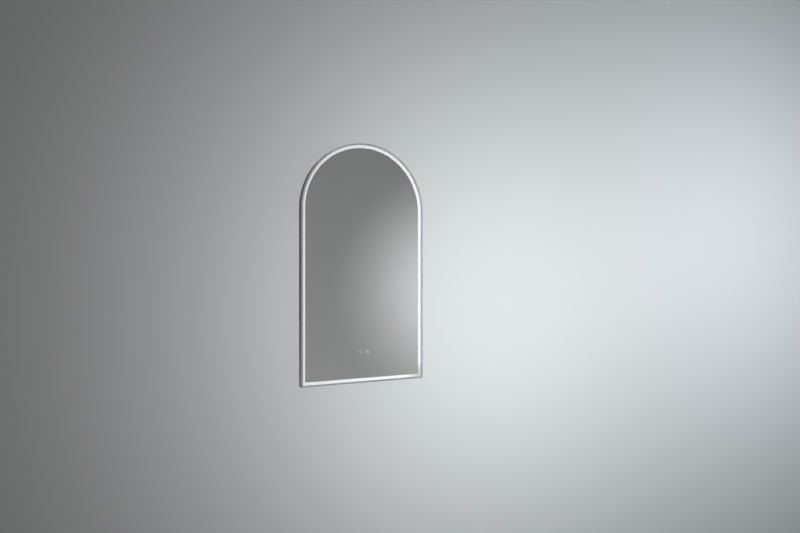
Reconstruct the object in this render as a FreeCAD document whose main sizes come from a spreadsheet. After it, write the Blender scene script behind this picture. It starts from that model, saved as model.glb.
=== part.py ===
import FreeCAD, Part
import math
import os
import Sketcher

# An arch-topped bathroom mirror with a light strip round its edge, made to hang on a wall.
#
# Frame of the model, in millimetres: +Z is up, +X is to the right as someone looks into the mirror, and
# -Y is towards them. The wall is the plane Y = 0. The origin is on the wall, in the middle of the row of
# screw holes of the rail that is screwed to the wall. "Off the wall" below means the distance -Y.
#
# How it is built, from the front: an extruded aluminium frame, bent over the arch and mitred to a bottom
# rail, whose lip stands proud of the glass; an opal strip that shows between the lip and the glass; the
# silvered glass, taped to a channel that runs round inside; a flexible strip of lamps on the outside of
# that channel; a sheet metal back panel with the power supply, the wiring box and the touch sensors in
# front of it; and a sunk pocket in the back panel, where a hooked rail hangs on the wall's rail.

SIZES = {
    # the whole mirror
    "mirror_width": 500,
    "mirror_height": 900,
    "mirror_depth": 32,
    "rail_height": 560,
    # section of the frame
    "wall_gap": 1,
    "frame_wall": 1.6,
    "lip_face": 6,
    "lip_recess": 9,
    "lip_skin": 1.4,
    "rib_reach": 4,
    "rib_thickness": 1.4,
    "flange_reach": 12,
    "flange_thickness": 1.6,
    "key_leg": 35,
    "key_clearance": 0.1,
    # glass and light strip
    "glass_thickness": 4,
    "glass_gap": 0.3,
    "strip_width": 10,
    "diffuser_tuck": 4,
    "groove_clearance": 0.2,
    "tongue_root": 3,
    "tongue_reach": 5,
    "tape_thickness": 1.5,
    "tape_width": 12,
    # channel that carries the glass
    "carrier_wall": 1.2,
    "carrier_gap": 1.2,
    "carrier_front": 17,
    "carrier_rear": 12,
    # lamps
    "lamp_tape_width": 8,
    "lamp_tape_thickness": 0.25,
    "lamp_length": 3.5,
    "lamp_width": 2.8,
    "lamp_height": 0.8,
    "lamp_pitch": 16.7,
    "lamp_gap": 34,
    "lamp_plug_length": 14,
    "lamp_plug_width": 10,
    "lamp_plug_height": 3,
    # back panel and its fixings
    "panel_stand": 2,
    "panel_thickness": 1,
    "panel_clearance": 0.6,
    "screw_radius": 1.4,
    "screw_head_radius": 2.8,
    "screw_head_height": 1.5,
    "panel_screw_length": 6,
    "fit_clearance": 0.1,
    "bumper_radius": 6,
    "bumper_edge": 42,
    "vent_length": 40,
    "vent_width": 3,
    "vent_pitch": 8,
    "vent_rise": 380,
    # rails that hang the mirror on the wall
    "rail_metal": 1.6,
    "rail_length": 300,
    "rail_plate": 20,
    "hook_height": 14,
    "hook_play": 1,
    "hook_clearance": 0.4,
    "hook_plate": 18,
    "wall_hole_radius": 2.6,
    "wall_hole_outer": 260,
    "wall_hole_inner": 100,
    "pocket_side": 15,
    "pocket_above": 6,
    "pocket_below": 20,
    "pocket_metal": 1.2,
    "pocket_flange": 10,
    "rivet_radius": 1.6,
    "rivet_head_radius": 3,
    "rivet_head_height": 0.9,
    # heating film behind the glass
    "heater_width": 300,
    "heater_thickness": 0.4,
    "heater_margin": 18,
    "heater_gap": 45,
    "heater_tab_size": 12,
    "heater_tab_depth": 3,
    "heater_tab_inset": 4,
    # touch sensors behind the glass
    "touch_height": 116,
    "touch_spacing": 28,
    "touch_pad_radius": 8,
    "touch_pad_thickness": 1,
    "board_width": 24,
    "board_height": 32,
    "board_thickness": 1.6,
    "board_chip": 7,
    "board_chip_height": 1.2,
    "touch_plug_width": 18,
    "touch_plug_height": 7,
    "touch_plug_depth": 4,
    "touch_wire_spacing": 12,
    # power supply
    "driver_length": 190,
    "driver_height": 46,
    "driver_depth": 14,
    "driver_wall": 1.2,
    "driver_lane": 15.8,
    "case_rise": 310,
    "driver_ear": 10,
    "driver_ear_height": 16,
    "driver_ear_thickness": 2,
    "driver_skirt": 2.5,
    "driver_play": 0.15,
    "driver_board_margin": 2.5,
    "driver_board_thickness": 1.6,
    "driver_stand_radius": 2.5,
    "driver_stand_height": 2.3,
    "driver_stand_inset": 12,
    "driver_terminal_length": 8,
    "driver_terminal_width": 14,
    "driver_terminal_height": 6,
    "transformer_length": 24,
    "transformer_width": 22,
    "transformer_height": 6.3,
    "transformer_offset": 22,
    "capacitor_radius": 4,
    "capacitor_height": 5.8,
    "capacitor_pitch": 11,
    "capacitor_offset": 20,
    # wiring box
    "wiring_length": 110,
    "wiring_height": 50,
    "wiring_depth": 13,
    "wiring_wall": 1.2,
    "wiring_flange": 6,
    "wiring_gap": 45,
    "cover_thickness": 1.2,
    "cover_clearance": 0.3,
    "boss_radius": 3.5,
    "boss_inset": 7,
    "cover_screw_length": 8,
    "terminal_length": 36,
    "terminal_width": 20,
    "terminal_height": 8,
    "terminal_offset": 20,
    "terminal_pitch": 12,
    "terminal_screw_radius": 2,
    "terminal_screw_length": 4.2,
    "terminal_well_depth": 5,
    "clamp_width": 8,
    "clamp_length": 32,
    "clamp_thickness": 2.4,
    "clamp_opening": 6.5,
    "clamp_screw_inset": 4,
    "clamp_screw_length": 4.2,
    "clamp_offset": 10,
    "grommet_bore": 4,
    "grommet_neck": 6,
    "grommet_radius": 8,
    "grommet_flange": 1.4,
    "grommet_offset": 28,
    # leads inside the case
    "mains_lead_radius": 2.4,
    "lead_radius": 1.2,
    "lead_spacing": 12,
    "inner_lane": 19,
    "upper_lane": 50,
    "lower_lane": 48,
    "clip_width": 8,
    "clip_length": 10,
    "clip_saddle_length": 5,
    "clip_wall": 1.2,
    "lead_clearance": 0.15,
    "earth_bolt_radius": 2,
    "earth_bolt_length": 5,
    "earth_nut_radius": 4,
    "earth_nut_height": 1.8,
    "earth_ring_radius": 4.2,
    "earth_ring_thickness": 0.8,
    "earth_tail_width": 3.6,
    "earth_tail_length": 10.5,
    "earth_barrel_length": 5,
    "earth_rise": 58,
}

doc = FreeCAD.newDocument("lighted_mirror")
sheet = doc.addObject("Spreadsheet::Sheet", "Sizes")
for row, (alias, number) in enumerate(SIZES.items(), start=1):
    sheet.set(f"A{row}", alias)
    sheet.set(f"B{row}", str(number))
    sheet.setAlias(f"B{row}", alias)
doc.recompute()


class Dim:
    """A size worked out from the sheet: the formula, which the document keeps, and its number."""

    def __init__(self, text, number):
        self.text = text
        self.number = number

    def _with(self, other, sign, number):
        other_text = other.text if isinstance(other, Dim) else repr(other)
        return Dim(f"({self.text} {sign} {other_text})", number)

    def __add__(self, other):
        return self._with(other, "+", self.number + number_of(other))

    def __sub__(self, other):
        return self._with(other, "-", self.number - number_of(other))

    def __mul__(self, other):
        return self._with(other, "*", self.number * number_of(other))

    def __truediv__(self, other):
        return self._with(other, "/", self.number / number_of(other))

    def __neg__(self):
        return Dim(f"(-1 * {self.text})", -self.number)


def number_of(value):
    return value.number if isinstance(value, Dim) else float(value)


def size(alias):
    """A driving size, by its name in the sheet."""
    return Dim(f"Sizes.{alias}", float(sheet.get(alias)))


def fixed(number):
    return Dim(repr(float(number)), float(number))


def across_at(radius, rise):
    """How far across from a circle's centre it is, at that height above it, or the other way round."""
    squares = f"{radius.text} * {radius.text} - {rise.text} * {rise.text}"
    return Dim(f"sqrt({squares})", math.sqrt(radius.number**2 - rise.number**2))


def around(radius, degrees):
    """The two coordinates of a point on a circle about zero, at an angle from +X."""
    turn = math.radians(degrees)
    across = Dim(f"({radius.text} * cos({degrees} deg))", radius.number * math.cos(turn))
    up = Dim(f"({radius.text} * sin({degrees} deg))", radius.number * math.sin(turn))
    return across, up


ZERO = fixed(0)

# ---- Levels and edges that several pieces share ----

half_width = size("mirror_width") / 2
bottom_z = -size("rail_height")
spring_z = bottom_z + size("mirror_height") - half_width

# distances off the wall, from the wall forwards
panel_rear = size("panel_stand")
panel_front = panel_rear + size("panel_thickness")
flange_front = panel_front + size("flange_thickness")
lip_front = size("mirror_depth")
glass_front = lip_front - size("lip_recess")
glass_rear = glass_front - size("glass_thickness")
tape_rear = glass_rear - size("tape_thickness")
carrier_face_rear = tape_rear - size("carrier_wall")
rib_front = glass_rear - size("groove_clearance")
rib_rear = rib_front - size("rib_thickness")

# half widths, from the outside of the frame inwards
wall_inner = half_width - size("frame_wall")
lip_inner = half_width - size("lip_face")
rib_inner = wall_inner - size("rib_reach")
flange_inner = half_width - size("flange_reach")
diffuser_outer = lip_inner + size("diffuser_tuck")
diffuser_inner = lip_inner - size("strip_width")
tongue_outer = diffuser_inner + size("tongue_root")
tongue_inner = diffuser_inner - size("tongue_reach")
glass_half = diffuser_inner - size("glass_gap")
web_outer = diffuser_inner - size("carrier_gap")
web_inner = web_outer - size("carrier_wall")
carrier_front_inner = web_outer - size("carrier_front")
carrier_rear_inner = web_outer - size("carrier_rear")
tape_outer = tongue_inner - size("glass_gap")
tape_inner = tape_outer - size("tape_width")
panel_half = wall_inner - size("panel_clearance")
panel_screw_line = half_width - (size("frame_wall") + size("flange_reach")) / 2


def inset(half):
    """How far in from the outside of the frame an edge at that half width is."""
    return half_width - half


def low(half):
    """The height of the bottom edge that goes with a half width."""
    return bottom_z + inset(half)


# ---- Ways of making things, each bound to the sheet ----


def bind(thing, **values):
    for name, value in values.items():
        thing.setExpression(name.replace("__", "."), value.text)


def new_body(name):
    made = doc.addObject("PartDesign::Body", name)
    made.Label = name
    return made


def sketch_on(body, name, role, lift=None):
    """A sketch on one of the body's own origin planes, lifted off it along its normal."""
    made = body.newObject("Sketcher::SketchObject", name)
    plane = next(o for o in body.Origin.OriginFeatures if o.Role == role)
    made.AttachmentSupport = [(plane, "")]
    made.MapMode = "FlatFace"
    if lift is not None:
        made.setExpression("AttachmentOffset.Base.z", lift.text)
    return made


def hold(sketch, kind, where, value):
    """A sketch dimension that follows the sheet."""
    index = sketch.addConstraint(Sketcher.Constraint(kind, *where, value.number))
    sketch.setExpression(f"Constraints[{index}]", value.text)


def pin(sketch, edge, end, across, up):
    """Holds one end of an edge at two distances from the sketch's origin."""
    hold(sketch, "DistanceX", (-1, 1, edge, end), across)
    hold(sketch, "DistanceY", (-1, 1, edge, end), up)


def point(across, up):
    return FreeCAD.Vector(across.number, up.number, 0)


def draw_polygon(sketch, corners):
    first = sketch.GeometryCount
    count = len(corners)
    for i in range(count):
        start, end = point(*corners[i]), point(*corners[(i + 1) % count])
        sketch.addGeometry(Part.LineSegment(start, end), False)
    for i in range(count):
        following = first + (i + 1) % count
        sketch.addConstraint(Sketcher.Constraint("Coincident", first + i, 2, following, 1))
    for i, (across, up) in enumerate(corners):
        pin(sketch, first + i, 1, across, up)


def draw_rectangle(sketch, left, right, down, up):
    draw_polygon(sketch, [(left, down), (right, down), (right, up), (left, up)])


def draw_arch(sketch, half):
    """The mirror's outline at that half width: a flat bottom, two sides and a half circle."""
    first = sketch.GeometryCount
    side, base, spring = half.number, low(half).number, spring_z.number
    corner = [FreeCAD.Vector(-side, base, 0), FreeCAD.Vector(side, base, 0)]
    shoulder = [FreeCAD.Vector(side, spring, 0), FreeCAD.Vector(-side, spring, 0)]
    circle = Part.Circle(FreeCAD.Vector(0, spring, 0), FreeCAD.Vector(0, 0, 1), side)
    bottom, right, arc, left = range(first, first + 4)
    sketch.addGeometry(Part.LineSegment(corner[0], corner[1]), False)
    sketch.addGeometry(Part.LineSegment(corner[1], shoulder[0]), False)
    sketch.addGeometry(Part.ArcOfCircle(circle, 0, math.pi), False)
    sketch.addGeometry(Part.LineSegment(shoulder[1], corner[0]), False)
    for constraint in (
        ("Coincident", bottom, 2, right, 1),
        ("Coincident", left, 2, bottom, 1),
        ("Tangent", right, 2, arc, 1),
        ("Tangent", arc, 2, left, 1),
        ("Horizontal", bottom),
        ("Vertical", right),
        ("Vertical", left),
        ("PointOnObject", arc, 3, -2),
    ):
        sketch.addConstraint(Sketcher.Constraint(*constraint))
    hold(sketch, "DistanceY", (-1, 1, arc, 3), spring_z)
    hold(sketch, "Radius", (arc,), half)
    hold(sketch, "DistanceY", (-1, 1, bottom, 1), low(half))


def draw_circles(sketch, centres, radius):
    for across, up in centres:
        edge = sketch.GeometryCount
        circle = Part.Circle(point(across, up), FreeCAD.Vector(0, 0, 1), radius.number)
        sketch.addGeometry(circle, False)
        pin(sketch, edge, 3, across, up)
        hold(sketch, "Radius", (edge,), radius)


def pad(body, sketch, length, reverse=False, both_ways=False):
    made = body.newObject("PartDesign::Pad", sketch.Name + "_pad")
    made.Profile = sketch
    made.Reversed = reverse
    if both_ways:
        made.SideType = "Symmetric"
    made.setExpression("Length", length.text)
    sketch.Visibility = False
    return made


def pocket_through(body, sketch):
    """Cuts the sketch's outline through the whole body, both ways."""
    made = body.newObject("PartDesign::Pocket", sketch.Name + "_pocket")
    made.Profile = sketch
    made.Type = "ThroughAll"
    made.SideType = "Symmetric"
    return made


def pocket_to_wall(body, sketch, depth):
    """Cuts the sketch's outline into the body, from the sketch towards the wall."""
    made = body.newObject("PartDesign::Pocket", sketch.Name + "_pocket")
    made.Profile = sketch
    made.setExpression("Length", depth.text)
    return made


def arch_plate(name, half, rear, thickness):
    """A flat plate of the mirror's outline, standing off the wall from rear by its thickness."""
    body = new_body(name)
    sketch = sketch_on(body, name + "_outline", "XZ_Plane", rear)
    draw_arch(sketch, half)
    pad(body, sketch, thickness)
    return body


def box(name, across, off_wall, up):
    """A block between two values along X, two distances off the wall, and two heights."""
    made = doc.addObject("Part::Box", name)
    made.Label = name
    bind(
        made,
        Length=across[1] - across[0],
        Width=off_wall[1] - off_wall[0],
        Height=up[1] - up[0],
        Placement__Base__x=across[0],
        Placement__Base__y=-off_wall[1],
        Placement__Base__z=up[0],
    )
    return made


def rod(name, radius, across, off_wall, up):
    """A cylinder along X, off the wall, or up: whichever of the three is given as two values."""
    made = doc.addObject("Part::Cylinder", name)
    made.Label = name
    if isinstance(across, tuple):
        made.Placement.Rotation = FreeCAD.Rotation(FreeCAD.Vector(0, 1, 0), 90)
        length, across = across[1] - across[0], across[0]
    elif isinstance(off_wall, tuple):
        made.Placement.Rotation = FreeCAD.Rotation(FreeCAD.Vector(1, 0, 0), 90)
        length, off_wall = off_wall[1] - off_wall[0], off_wall[0]
    else:
        length, up = up[1] - up[0], up[0]
    bind(
        made,
        Radius=radius,
        Height=length,
        Placement__Base__x=across,
        Placement__Base__y=-off_wall,
        Placement__Base__z=up,
    )
    return made


def fused(name, pieces):
    made = doc.addObject("Part::MultiFuse", name)
    made.Label = name
    made.Shapes = pieces
    made.Refine = True
    return made


def cut(name, base, tools):
    made = doc.addObject("Part::Cut", name)
    made.Label = name
    made.Base = base
    made.Tool = tools[0] if len(tools) == 1 else fused(name + "_tools", tools)
    return made


def feature(name, shape):
    """A piece whose shape is worked out here, for groups of like pieces and for leads."""
    made = doc.addObject("Part::Feature", name)
    made.Label = name
    made.Shape = shape
    made.Placement = FreeCAD.Placement()
    return made


def place_of(across, off_wall, up):
    """A point of the model: along X, off the wall, and up."""
    return FreeCAD.Vector(number_of(across), -number_of(off_wall), number_of(up))


def copies(name, pattern, places):
    """One node with a copy of a piece, made at the origin, at each place."""
    solids = []
    for place in places:
        solid = pattern.copy()
        solid.Placement = place
        solids.append(solid)
    return feature(name, Part.makeCompound(solids))


def turned(across, off_wall, up, degrees=0):
    """Where a copy goes, turned about the line that stands off the wall."""
    turn = FreeCAD.Rotation(FreeCAD.Vector(0, -1, 0), degrees)
    return FreeCAD.Placement(place_of(across, off_wall, up), turn)


def drilled(base, places, radius, depth_from, depth_to):
    """The piece with a round hole at each place, straight off the wall. It keeps the piece's name."""
    name = base.Label
    base.Label = name + "_plain"
    tools = [
        rod(f"{name}_hole_{i}", radius, across, (depth_from, depth_to), up)
        for i, (across, up) in enumerate(places, start=1)
    ]
    return cut(name, base, tools)


# ---- Frame: two straight legs, an arch and a mitred bottom rail, all of one section ----

frame_section = [
    (half_width, -size("wall_gap")),
    (half_width, -lip_front),
    (lip_inner, -lip_front),
    (lip_inner, -glass_front),
    (wall_inner, -glass_front),
    (wall_inner, -rib_front),
    (rib_inner, -rib_front),
    (rib_inner, -rib_rear),
    (wall_inner, -rib_rear),
    (wall_inner, -flange_front),
    (flange_inner, -flange_front),
    (flange_inner, -panel_front),
    (wall_inner, -panel_front),
    (wall_inner, -size("wall_gap")),
]
chamber_outer = wall_inner
chamber_inner = lip_inner + size("lip_skin")
chamber_rear = glass_front + size("lip_skin")
chamber_front = lip_front - size("lip_skin")
frame_chamber = [
    (chamber_outer, -chamber_rear),
    (chamber_outer, -chamber_front),
    (chamber_inner, -chamber_front),
    (chamber_inner, -chamber_rear),
]

diffuser_section = [
    (diffuser_outer, -glass_rear),
    (diffuser_outer, -glass_front),
    (diffuser_inner, -glass_front),
    (diffuser_inner, -glass_rear),
    (tongue_inner, -glass_rear),
    (tongue_inner, -tape_rear),
    (tongue_outer, -tape_rear),
    (tongue_outer, -glass_rear),
]

carrier_section = [
    (web_outer, -panel_front),
    (web_outer, -tape_rear),
    (carrier_front_inner, -tape_rear),
    (carrier_front_inner, -carrier_face_rear),
    (web_inner, -carrier_face_rear),
    (web_inner, -(panel_front + size("carrier_wall"))),
    (carrier_rear_inner, -(panel_front + size("carrier_wall"))),
    (carrier_rear_inner, -panel_front),
]


def bent_section(name, outlines, leg_foot):
    """A section carried up both sides, from leg_foot, and round the arch."""
    body = new_body(name)
    section = sketch_on(body, name + "_section", "XY_Plane", spring_z)
    for outline in outlines:
        draw_polygon(section, outline)
    leg = pad(body, section, spring_z - leg_foot, reverse=True)
    mirrored = body.newObject("PartDesign::Mirrored", name + "_mirrored")
    mirrored.Originals = [leg]
    mirrored.MirrorPlane = (next(o for o in body.Origin.OriginFeatures if o.Role == "YZ_Plane"), [""])
    body.Tip = mirrored
    arch = body.newObject("PartDesign::Revolution", name + "_arch")
    arch.Profile = section
    arch.ReferenceAxis = (section, ["V_Axis"])
    arch.Angle = 180
    arch.Reversed = True
    body.Tip = arch
    return body


def straight_section(name, outlines, length):
    """The same section as a straight bar along the bottom, its outside facing down."""
    body = new_body(name)
    section = sketch_on(body, name + "_section", "XY_Plane")
    for outline in outlines:
        draw_polygon(section, outline)
    pad(body, section, length, both_ways=True)
    body.Placement.Rotation = FreeCAD.Rotation(FreeCAD.Vector(0, 1, 0), 90)
    bind(body, Placement__Base__z=bottom_z + half_width)
    return body


frame_arch = bent_section("frame_arch", [frame_section, frame_chamber], bottom_z)
mitre = sketch_on(frame_arch, "frame_arch_mitre", "XZ_Plane")
mitre_reach = size("flange_reach") + 1
for side in (1, -1):
    outer, inner = half_width * side, (half_width - mitre_reach) * side
    draw_polygon(mitre, [(outer, bottom_z), (inner, bottom_z), (inner, bottom_z + mitre_reach)])
pocket_through(frame_arch, mitre)

frame_bottom_rail = straight_section(
    "frame_bottom_rail", [frame_section, frame_chamber], size("mirror_width")
)
mitre = sketch_on(frame_bottom_rail, "frame_bottom_rail_mitre", "XZ_Plane")
mitre_root = half_width - mitre_reach
for end in (1, -1):
    tip = half_width * end
    draw_polygon(mitre, [(half_width, tip), (mitre_root, tip), (mitre_root, mitre_root * end)])
pocket_through(frame_bottom_rail, mitre)


def corner_key(name, side):
    """An angle pressed into the hollow lip of a leg and of the bottom rail, which holds the mitre closed."""
    body = new_body(name)
    outer = (chamber_outer - size("key_clearance")) * side
    inner = (chamber_inner + size("key_clearance")) * side
    end = (chamber_outer - size("key_leg")) * side
    foot = bottom_z + inset(chamber_outer) + size("key_clearance")
    thickness_top = bottom_z + inset(chamber_inner) - size("key_clearance")
    top = foot + size("key_leg")
    sketch = sketch_on(body, name + "_outline", "XZ_Plane", chamber_rear + size("key_clearance"))
    upright = [(outer, foot), (outer, top), (inner, top)]
    draw_polygon(sketch, upright + [(inner, thickness_top), (end, thickness_top), (end, foot)])
    pad(body, sketch, chamber_front - chamber_rear - size("key_clearance") * 2)
    return body


corner_key_left = corner_key("corner_key_left", -1)
corner_key_right = corner_key("corner_key_right", 1)

# ---- Light strip that shows between the lip and the glass, and the glass ----

# the sides run down to the bottom strip's lower edge, so the bottom strip butts between them
diffuser_arch = bent_section("diffuser_arch", [diffuser_section], low(diffuser_outer))
notch = sketch_on(diffuser_arch, "diffuser_arch_tongue_notch", "XZ_Plane", glass_rear)
for side in (1, -1):
    draw_rectangle(
        notch,
        (tongue_inner - 1) * side,
        (tongue_outer + 1) * side,
        low(diffuser_outer) - 1,
        low(tongue_inner) + size("glass_gap"),
    )
pocket_to_wall(diffuser_arch, notch, size("tape_thickness"))
diffuser_bottom = straight_section(
    "diffuser_bottom", [diffuser_section], (diffuser_inner - size("glass_gap")) * 2
)

mirror_glass = arch_plate("mirror_glass", glass_half, glass_rear, size("glass_thickness"))

bonding_tape = new_body("bonding_tape")
tape_outline = sketch_on(bonding_tape, "bonding_tape_outline", "XZ_Plane", tape_rear)
draw_arch(tape_outline, tape_outer)
draw_arch(tape_outline, tape_inner)
pad(bonding_tape, tape_outline, size("tape_thickness"))

# ---- Channel that carries the glass and the lamps ----

carrier_arch = bent_section("carrier_arch", [carrier_section], low(web_outer))
corner = sketch_on(carrier_arch, "carrier_arch_corner", "XZ_Plane")
carrier_end = low(carrier_front_inner)
for side in (1, -1):
    inner = (carrier_front_inner - 1) * side
    draw_rectangle(corner, inner, web_inner * side, low(web_outer) - 1, carrier_end)
pocket_through(carrier_arch, corner)
carrier_bottom = straight_section("carrier_bottom", [carrier_section], (web_inner - size("glass_gap")) * 2)

# ---- Strip of lamps, stuck to the outside of the channel, with its ends at the lower right corner ----

lamp_middle = (panel_front + tape_rear) / 2
lamp_low = lamp_middle - size("lamp_tape_width") / 2
lamp_tape_outer = web_outer + size("lamp_tape_thickness")
lamp_strip = new_body("lamp_strip")
lamp_outline = sketch_on(lamp_strip, "lamp_strip_outline", "XZ_Plane", lamp_low)
draw_arch(lamp_outline, lamp_tape_outer)
draw_arch(lamp_outline, web_outer)
pad(lamp_strip, lamp_outline, size("lamp_tape_width"))
lamp_start = low(web_outer) + size("lamp_gap")
lamp_ends = sketch_on(lamp_strip, "lamp_strip_ends", "XZ_Plane", lamp_low)
draw_rectangle(
    lamp_ends,
    lamp_tape_outer - size("lamp_gap"),
    lamp_tape_outer + 1,
    low(lamp_tape_outer) - 1,
    lamp_start,
)
pocket_through(lamp_strip, lamp_ends)


def lamp_places():
    """Each lamp's place and turn: up the right side, over the arch, down the left side and back below."""
    pitch = number_of(size("lamp_pitch"))
    radius = number_of(lamp_tape_outer)
    spring, foot = number_of(spring_z), number_of(low(lamp_tape_outer))
    start = number_of(lamp_start)
    side_run = spring - foot
    legs = [spring - start, math.pi * radius, side_run, 2 * radius - number_of(size("lamp_gap"))]
    height = number_of(lamp_middle)
    places = []
    along = pitch / 2
    while along < sum(legs) - pitch / 2:
        if along < legs[0]:
            places.append(turned(radius, height, start + along, 0))
        elif along < legs[0] + legs[1]:
            angle = (along - legs[0]) / radius
            across, up = radius * math.cos(angle), spring + radius * math.sin(angle)
            places.append(turned(across, height, up, math.degrees(angle)))
        elif along < sum(legs[:3]):
            up = spring - (along - legs[0] - legs[1])
            if up - foot > pitch / 4:
                places.append(turned(-radius, height, up, 180))
        else:
            across = -radius + (along - sum(legs[:3]))
            if across + radius > pitch / 4:
                places.append(turned(across, height, foot, 270))
        along += pitch
    return places


lamp_width = size("lamp_width").number
lamp_length = size("lamp_length").number
lamp = Part.makeBox(
    size("lamp_height").number,
    lamp_width,
    lamp_length,
    FreeCAD.Vector(0, -lamp_width / 2, -lamp_length / 2),
)
lamps = copies("lamps", lamp, lamp_places())

plug_top = lamp_start
plug_foot = plug_top - size("lamp_plug_length")
plug_middle = (plug_foot + plug_top) / 2
lamp_plug = box(
    "lamp_plug",
    (web_outer, web_outer + size("lamp_plug_height")),
    (lamp_middle - size("lamp_plug_width") / 2, lamp_middle + size("lamp_plug_width") / 2),
    (plug_foot, plug_top),
)

# the lead to the lamps comes through the right side of the channel, behind the plug
lead_bore = size("lead_radius") + size("lead_clearance")
carrier_arch.Label = "carrier_arch_plain"
carrier_arch = cut(
    "carrier_arch",
    carrier_arch,
    [rod("lamp_lead_hole", lead_bore, (web_inner - 1, web_outer + 1), lamp_middle, plug_middle)],
)

# ---- Rails: one screwed to the wall, one hooked over it ----

tongue_rear = size("rail_metal") + size("hook_clearance")
tongue_front = tongue_rear + size("rail_metal")
wall_tongue_rear = tongue_front + size("hook_clearance")
wall_tongue_front = wall_tongue_rear + size("rail_metal")
hook_plate_rear = wall_tongue_front + size("hook_clearance")
hook_plate_front = hook_plate_rear + size("rail_metal")
wall_plate_top = size("rail_plate") / 2
wall_tongue_top = wall_plate_top + size("hook_height")
hook_shelf_top = wall_tongue_top + size("rail_metal")
hook_top = hook_shelf_top + size("hook_plate")
rail_half = size("rail_length") / 2


def rail(name, outline):
    """A rail of one folded section, all along X. The outline is in distances off the wall and heights."""
    body = new_body(name)
    section = sketch_on(body, name + "_section", "YZ_Plane")
    draw_polygon(section, [(-off_wall, up) for off_wall, up in outline])
    pad(body, section, size("rail_length"), both_ways=True)
    return body


wall_rail = rail(
    "wall_rail",
    [
        (ZERO, -wall_plate_top),
        (size("rail_metal"), -wall_plate_top),
        (size("rail_metal"), wall_plate_top - size("rail_metal")),
        (wall_tongue_front, wall_plate_top - size("rail_metal")),
        (wall_tongue_front, wall_tongue_top),
        (wall_tongue_rear, wall_tongue_top),
        (wall_tongue_rear, wall_plate_top),
        (ZERO, wall_plate_top),
    ],
)
wall_hole_places = [
    (size(row) / 2 * side, ZERO) for row in ("wall_hole_outer", "wall_hole_inner") for side in (1, -1)
]
wall_holes = sketch_on(wall_rail, "wall_rail_holes", "XZ_Plane")
draw_circles(wall_holes, wall_hole_places, size("wall_hole_radius"))
pocket_through(wall_rail, wall_holes)

hook_rail = rail(
    "hook_rail",
    [
        (tongue_rear, wall_plate_top + size("hook_play")),
        (tongue_front, wall_plate_top + size("hook_play")),
        (tongue_front, wall_tongue_top),
        (hook_plate_front, wall_tongue_top),
        (hook_plate_front, hook_top),
        (hook_plate_rear, hook_top),
        (hook_plate_rear, hook_shelf_top),
        (tongue_rear, hook_shelf_top),
    ],
)

# ---- Trays let into the back panel ----


def shrunk(edges, by):
    left, right, down, up = edges
    return left + by, right - by, down + by, up - by


def sunk_tray(name, edges, brim_width, wall, floor_rear):
    """A tray with a brim on the back panel's front face, four walls, and a floor that far off the wall."""
    body = new_body(name)
    brim = sketch_on(body, name + "_brim", "XZ_Plane", panel_front)
    draw_rectangle(brim, *shrunk(edges, -brim_width))
    pad(body, brim, wall)
    bulk = sketch_on(body, name + "_bulk", "XZ_Plane", panel_front)
    draw_rectangle(bulk, *edges)
    pad(body, bulk, floor_rear + wall - panel_front)
    hollow = sketch_on(body, name + "_hollow", "XZ_Plane", floor_rear)
    draw_rectangle(hollow, *shrunk(edges, wall))
    pocket_to_wall(body, hollow, floor_rear - panel_front)
    return body


def brim_rivet_places(edges, brim_width, end_heights):
    """Three rivets in the brim above and three below the tray, and one at each given height at both ends."""
    left, right, down, up = edges
    middle, half = (left + right) / 2, (right - left) / 2
    above_and_below = [
        (middle + half * share, height)
        for share in (-0.6, 0, 0.6)
        for height in (down - brim_width / 2, up + brim_width / 2)
    ]
    columns = (left - brim_width / 2, right + brim_width / 2)
    return above_and_below + [(column, height) for column in columns for height in end_heights]


# where the two rails meet
pocket_half = rail_half + size("pocket_side")
pocket_edges = (
    -pocket_half,
    pocket_half,
    -wall_plate_top - size("pocket_below"),
    hook_top + size("pocket_above"),
)
pocket_floor_front = hook_plate_front + size("pocket_metal")
hook_rivet_places = [
    (rail_half * share, (hook_shelf_top + hook_top) / 2) for share in (-0.86, -0.43, 0, 0.43, 0.86)
]
pocket_rivet_places = brim_rivet_places(
    pocket_edges, size("pocket_flange"), [pocket_edges[2] + 10, pocket_edges[3] - 10]
)
hanger_pocket = sunk_tray(
    "hanger_pocket", pocket_edges, size("pocket_flange"), size("pocket_metal"), hook_plate_front
)
hanger_pocket = drilled(
    hanger_pocket,
    hook_rivet_places + pocket_rivet_places,
    size("rivet_radius"),
    panel_front - 1,
    pocket_floor_front + 1,
)
hook_rail = drilled(
    hook_rail, hook_rivet_places, size("rivet_radius"), hook_plate_rear - 1, hook_plate_front + 1
)

# round the mains terminals, beside the power supply
case_z = bottom_z + size("case_rise")
driver_half = size("driver_length") / 2
driver_x = carrier_rear_inner - size("driver_lane") - size("driver_ear") - driver_half
wiring_half = size("wiring_length") / 2
wiring_x = driver_x - driver_half - size("wiring_gap") - wiring_half
wiring_half_height = size("wiring_height") / 2
wiring_edges = (
    wiring_x - wiring_half,
    wiring_x + wiring_half,
    case_z - wiring_half_height,
    case_z + wiring_half_height,
)
wiring_floor = panel_front + size("wiring_depth") - size("wiring_wall")
wiring_rivet_places = brim_rivet_places(wiring_edges, size("wiring_flange"), [])

# ---- Fixings ----

TOWARDS_ROOM = FreeCAD.Vector(0, -1, 0)


def disc(radius, height, rear):
    """A round piece along -Y whose rear face is that far off the origin's plane."""
    return Part.makeCylinder(radius, height, FreeCAD.Vector(0, -rear, 0), TOWARDS_ROOM)


def domed_head(radius, height):
    """A head behind the origin's plane, rounded at its outer rim."""
    head = disc(radius, height, -height)
    rim = [edge for edge in head.Edges if edge.Closed and abs(edge.CenterOfMass.y - height) < 1e-6]
    return head.makeFillet(height * 0.6, rim)


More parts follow.
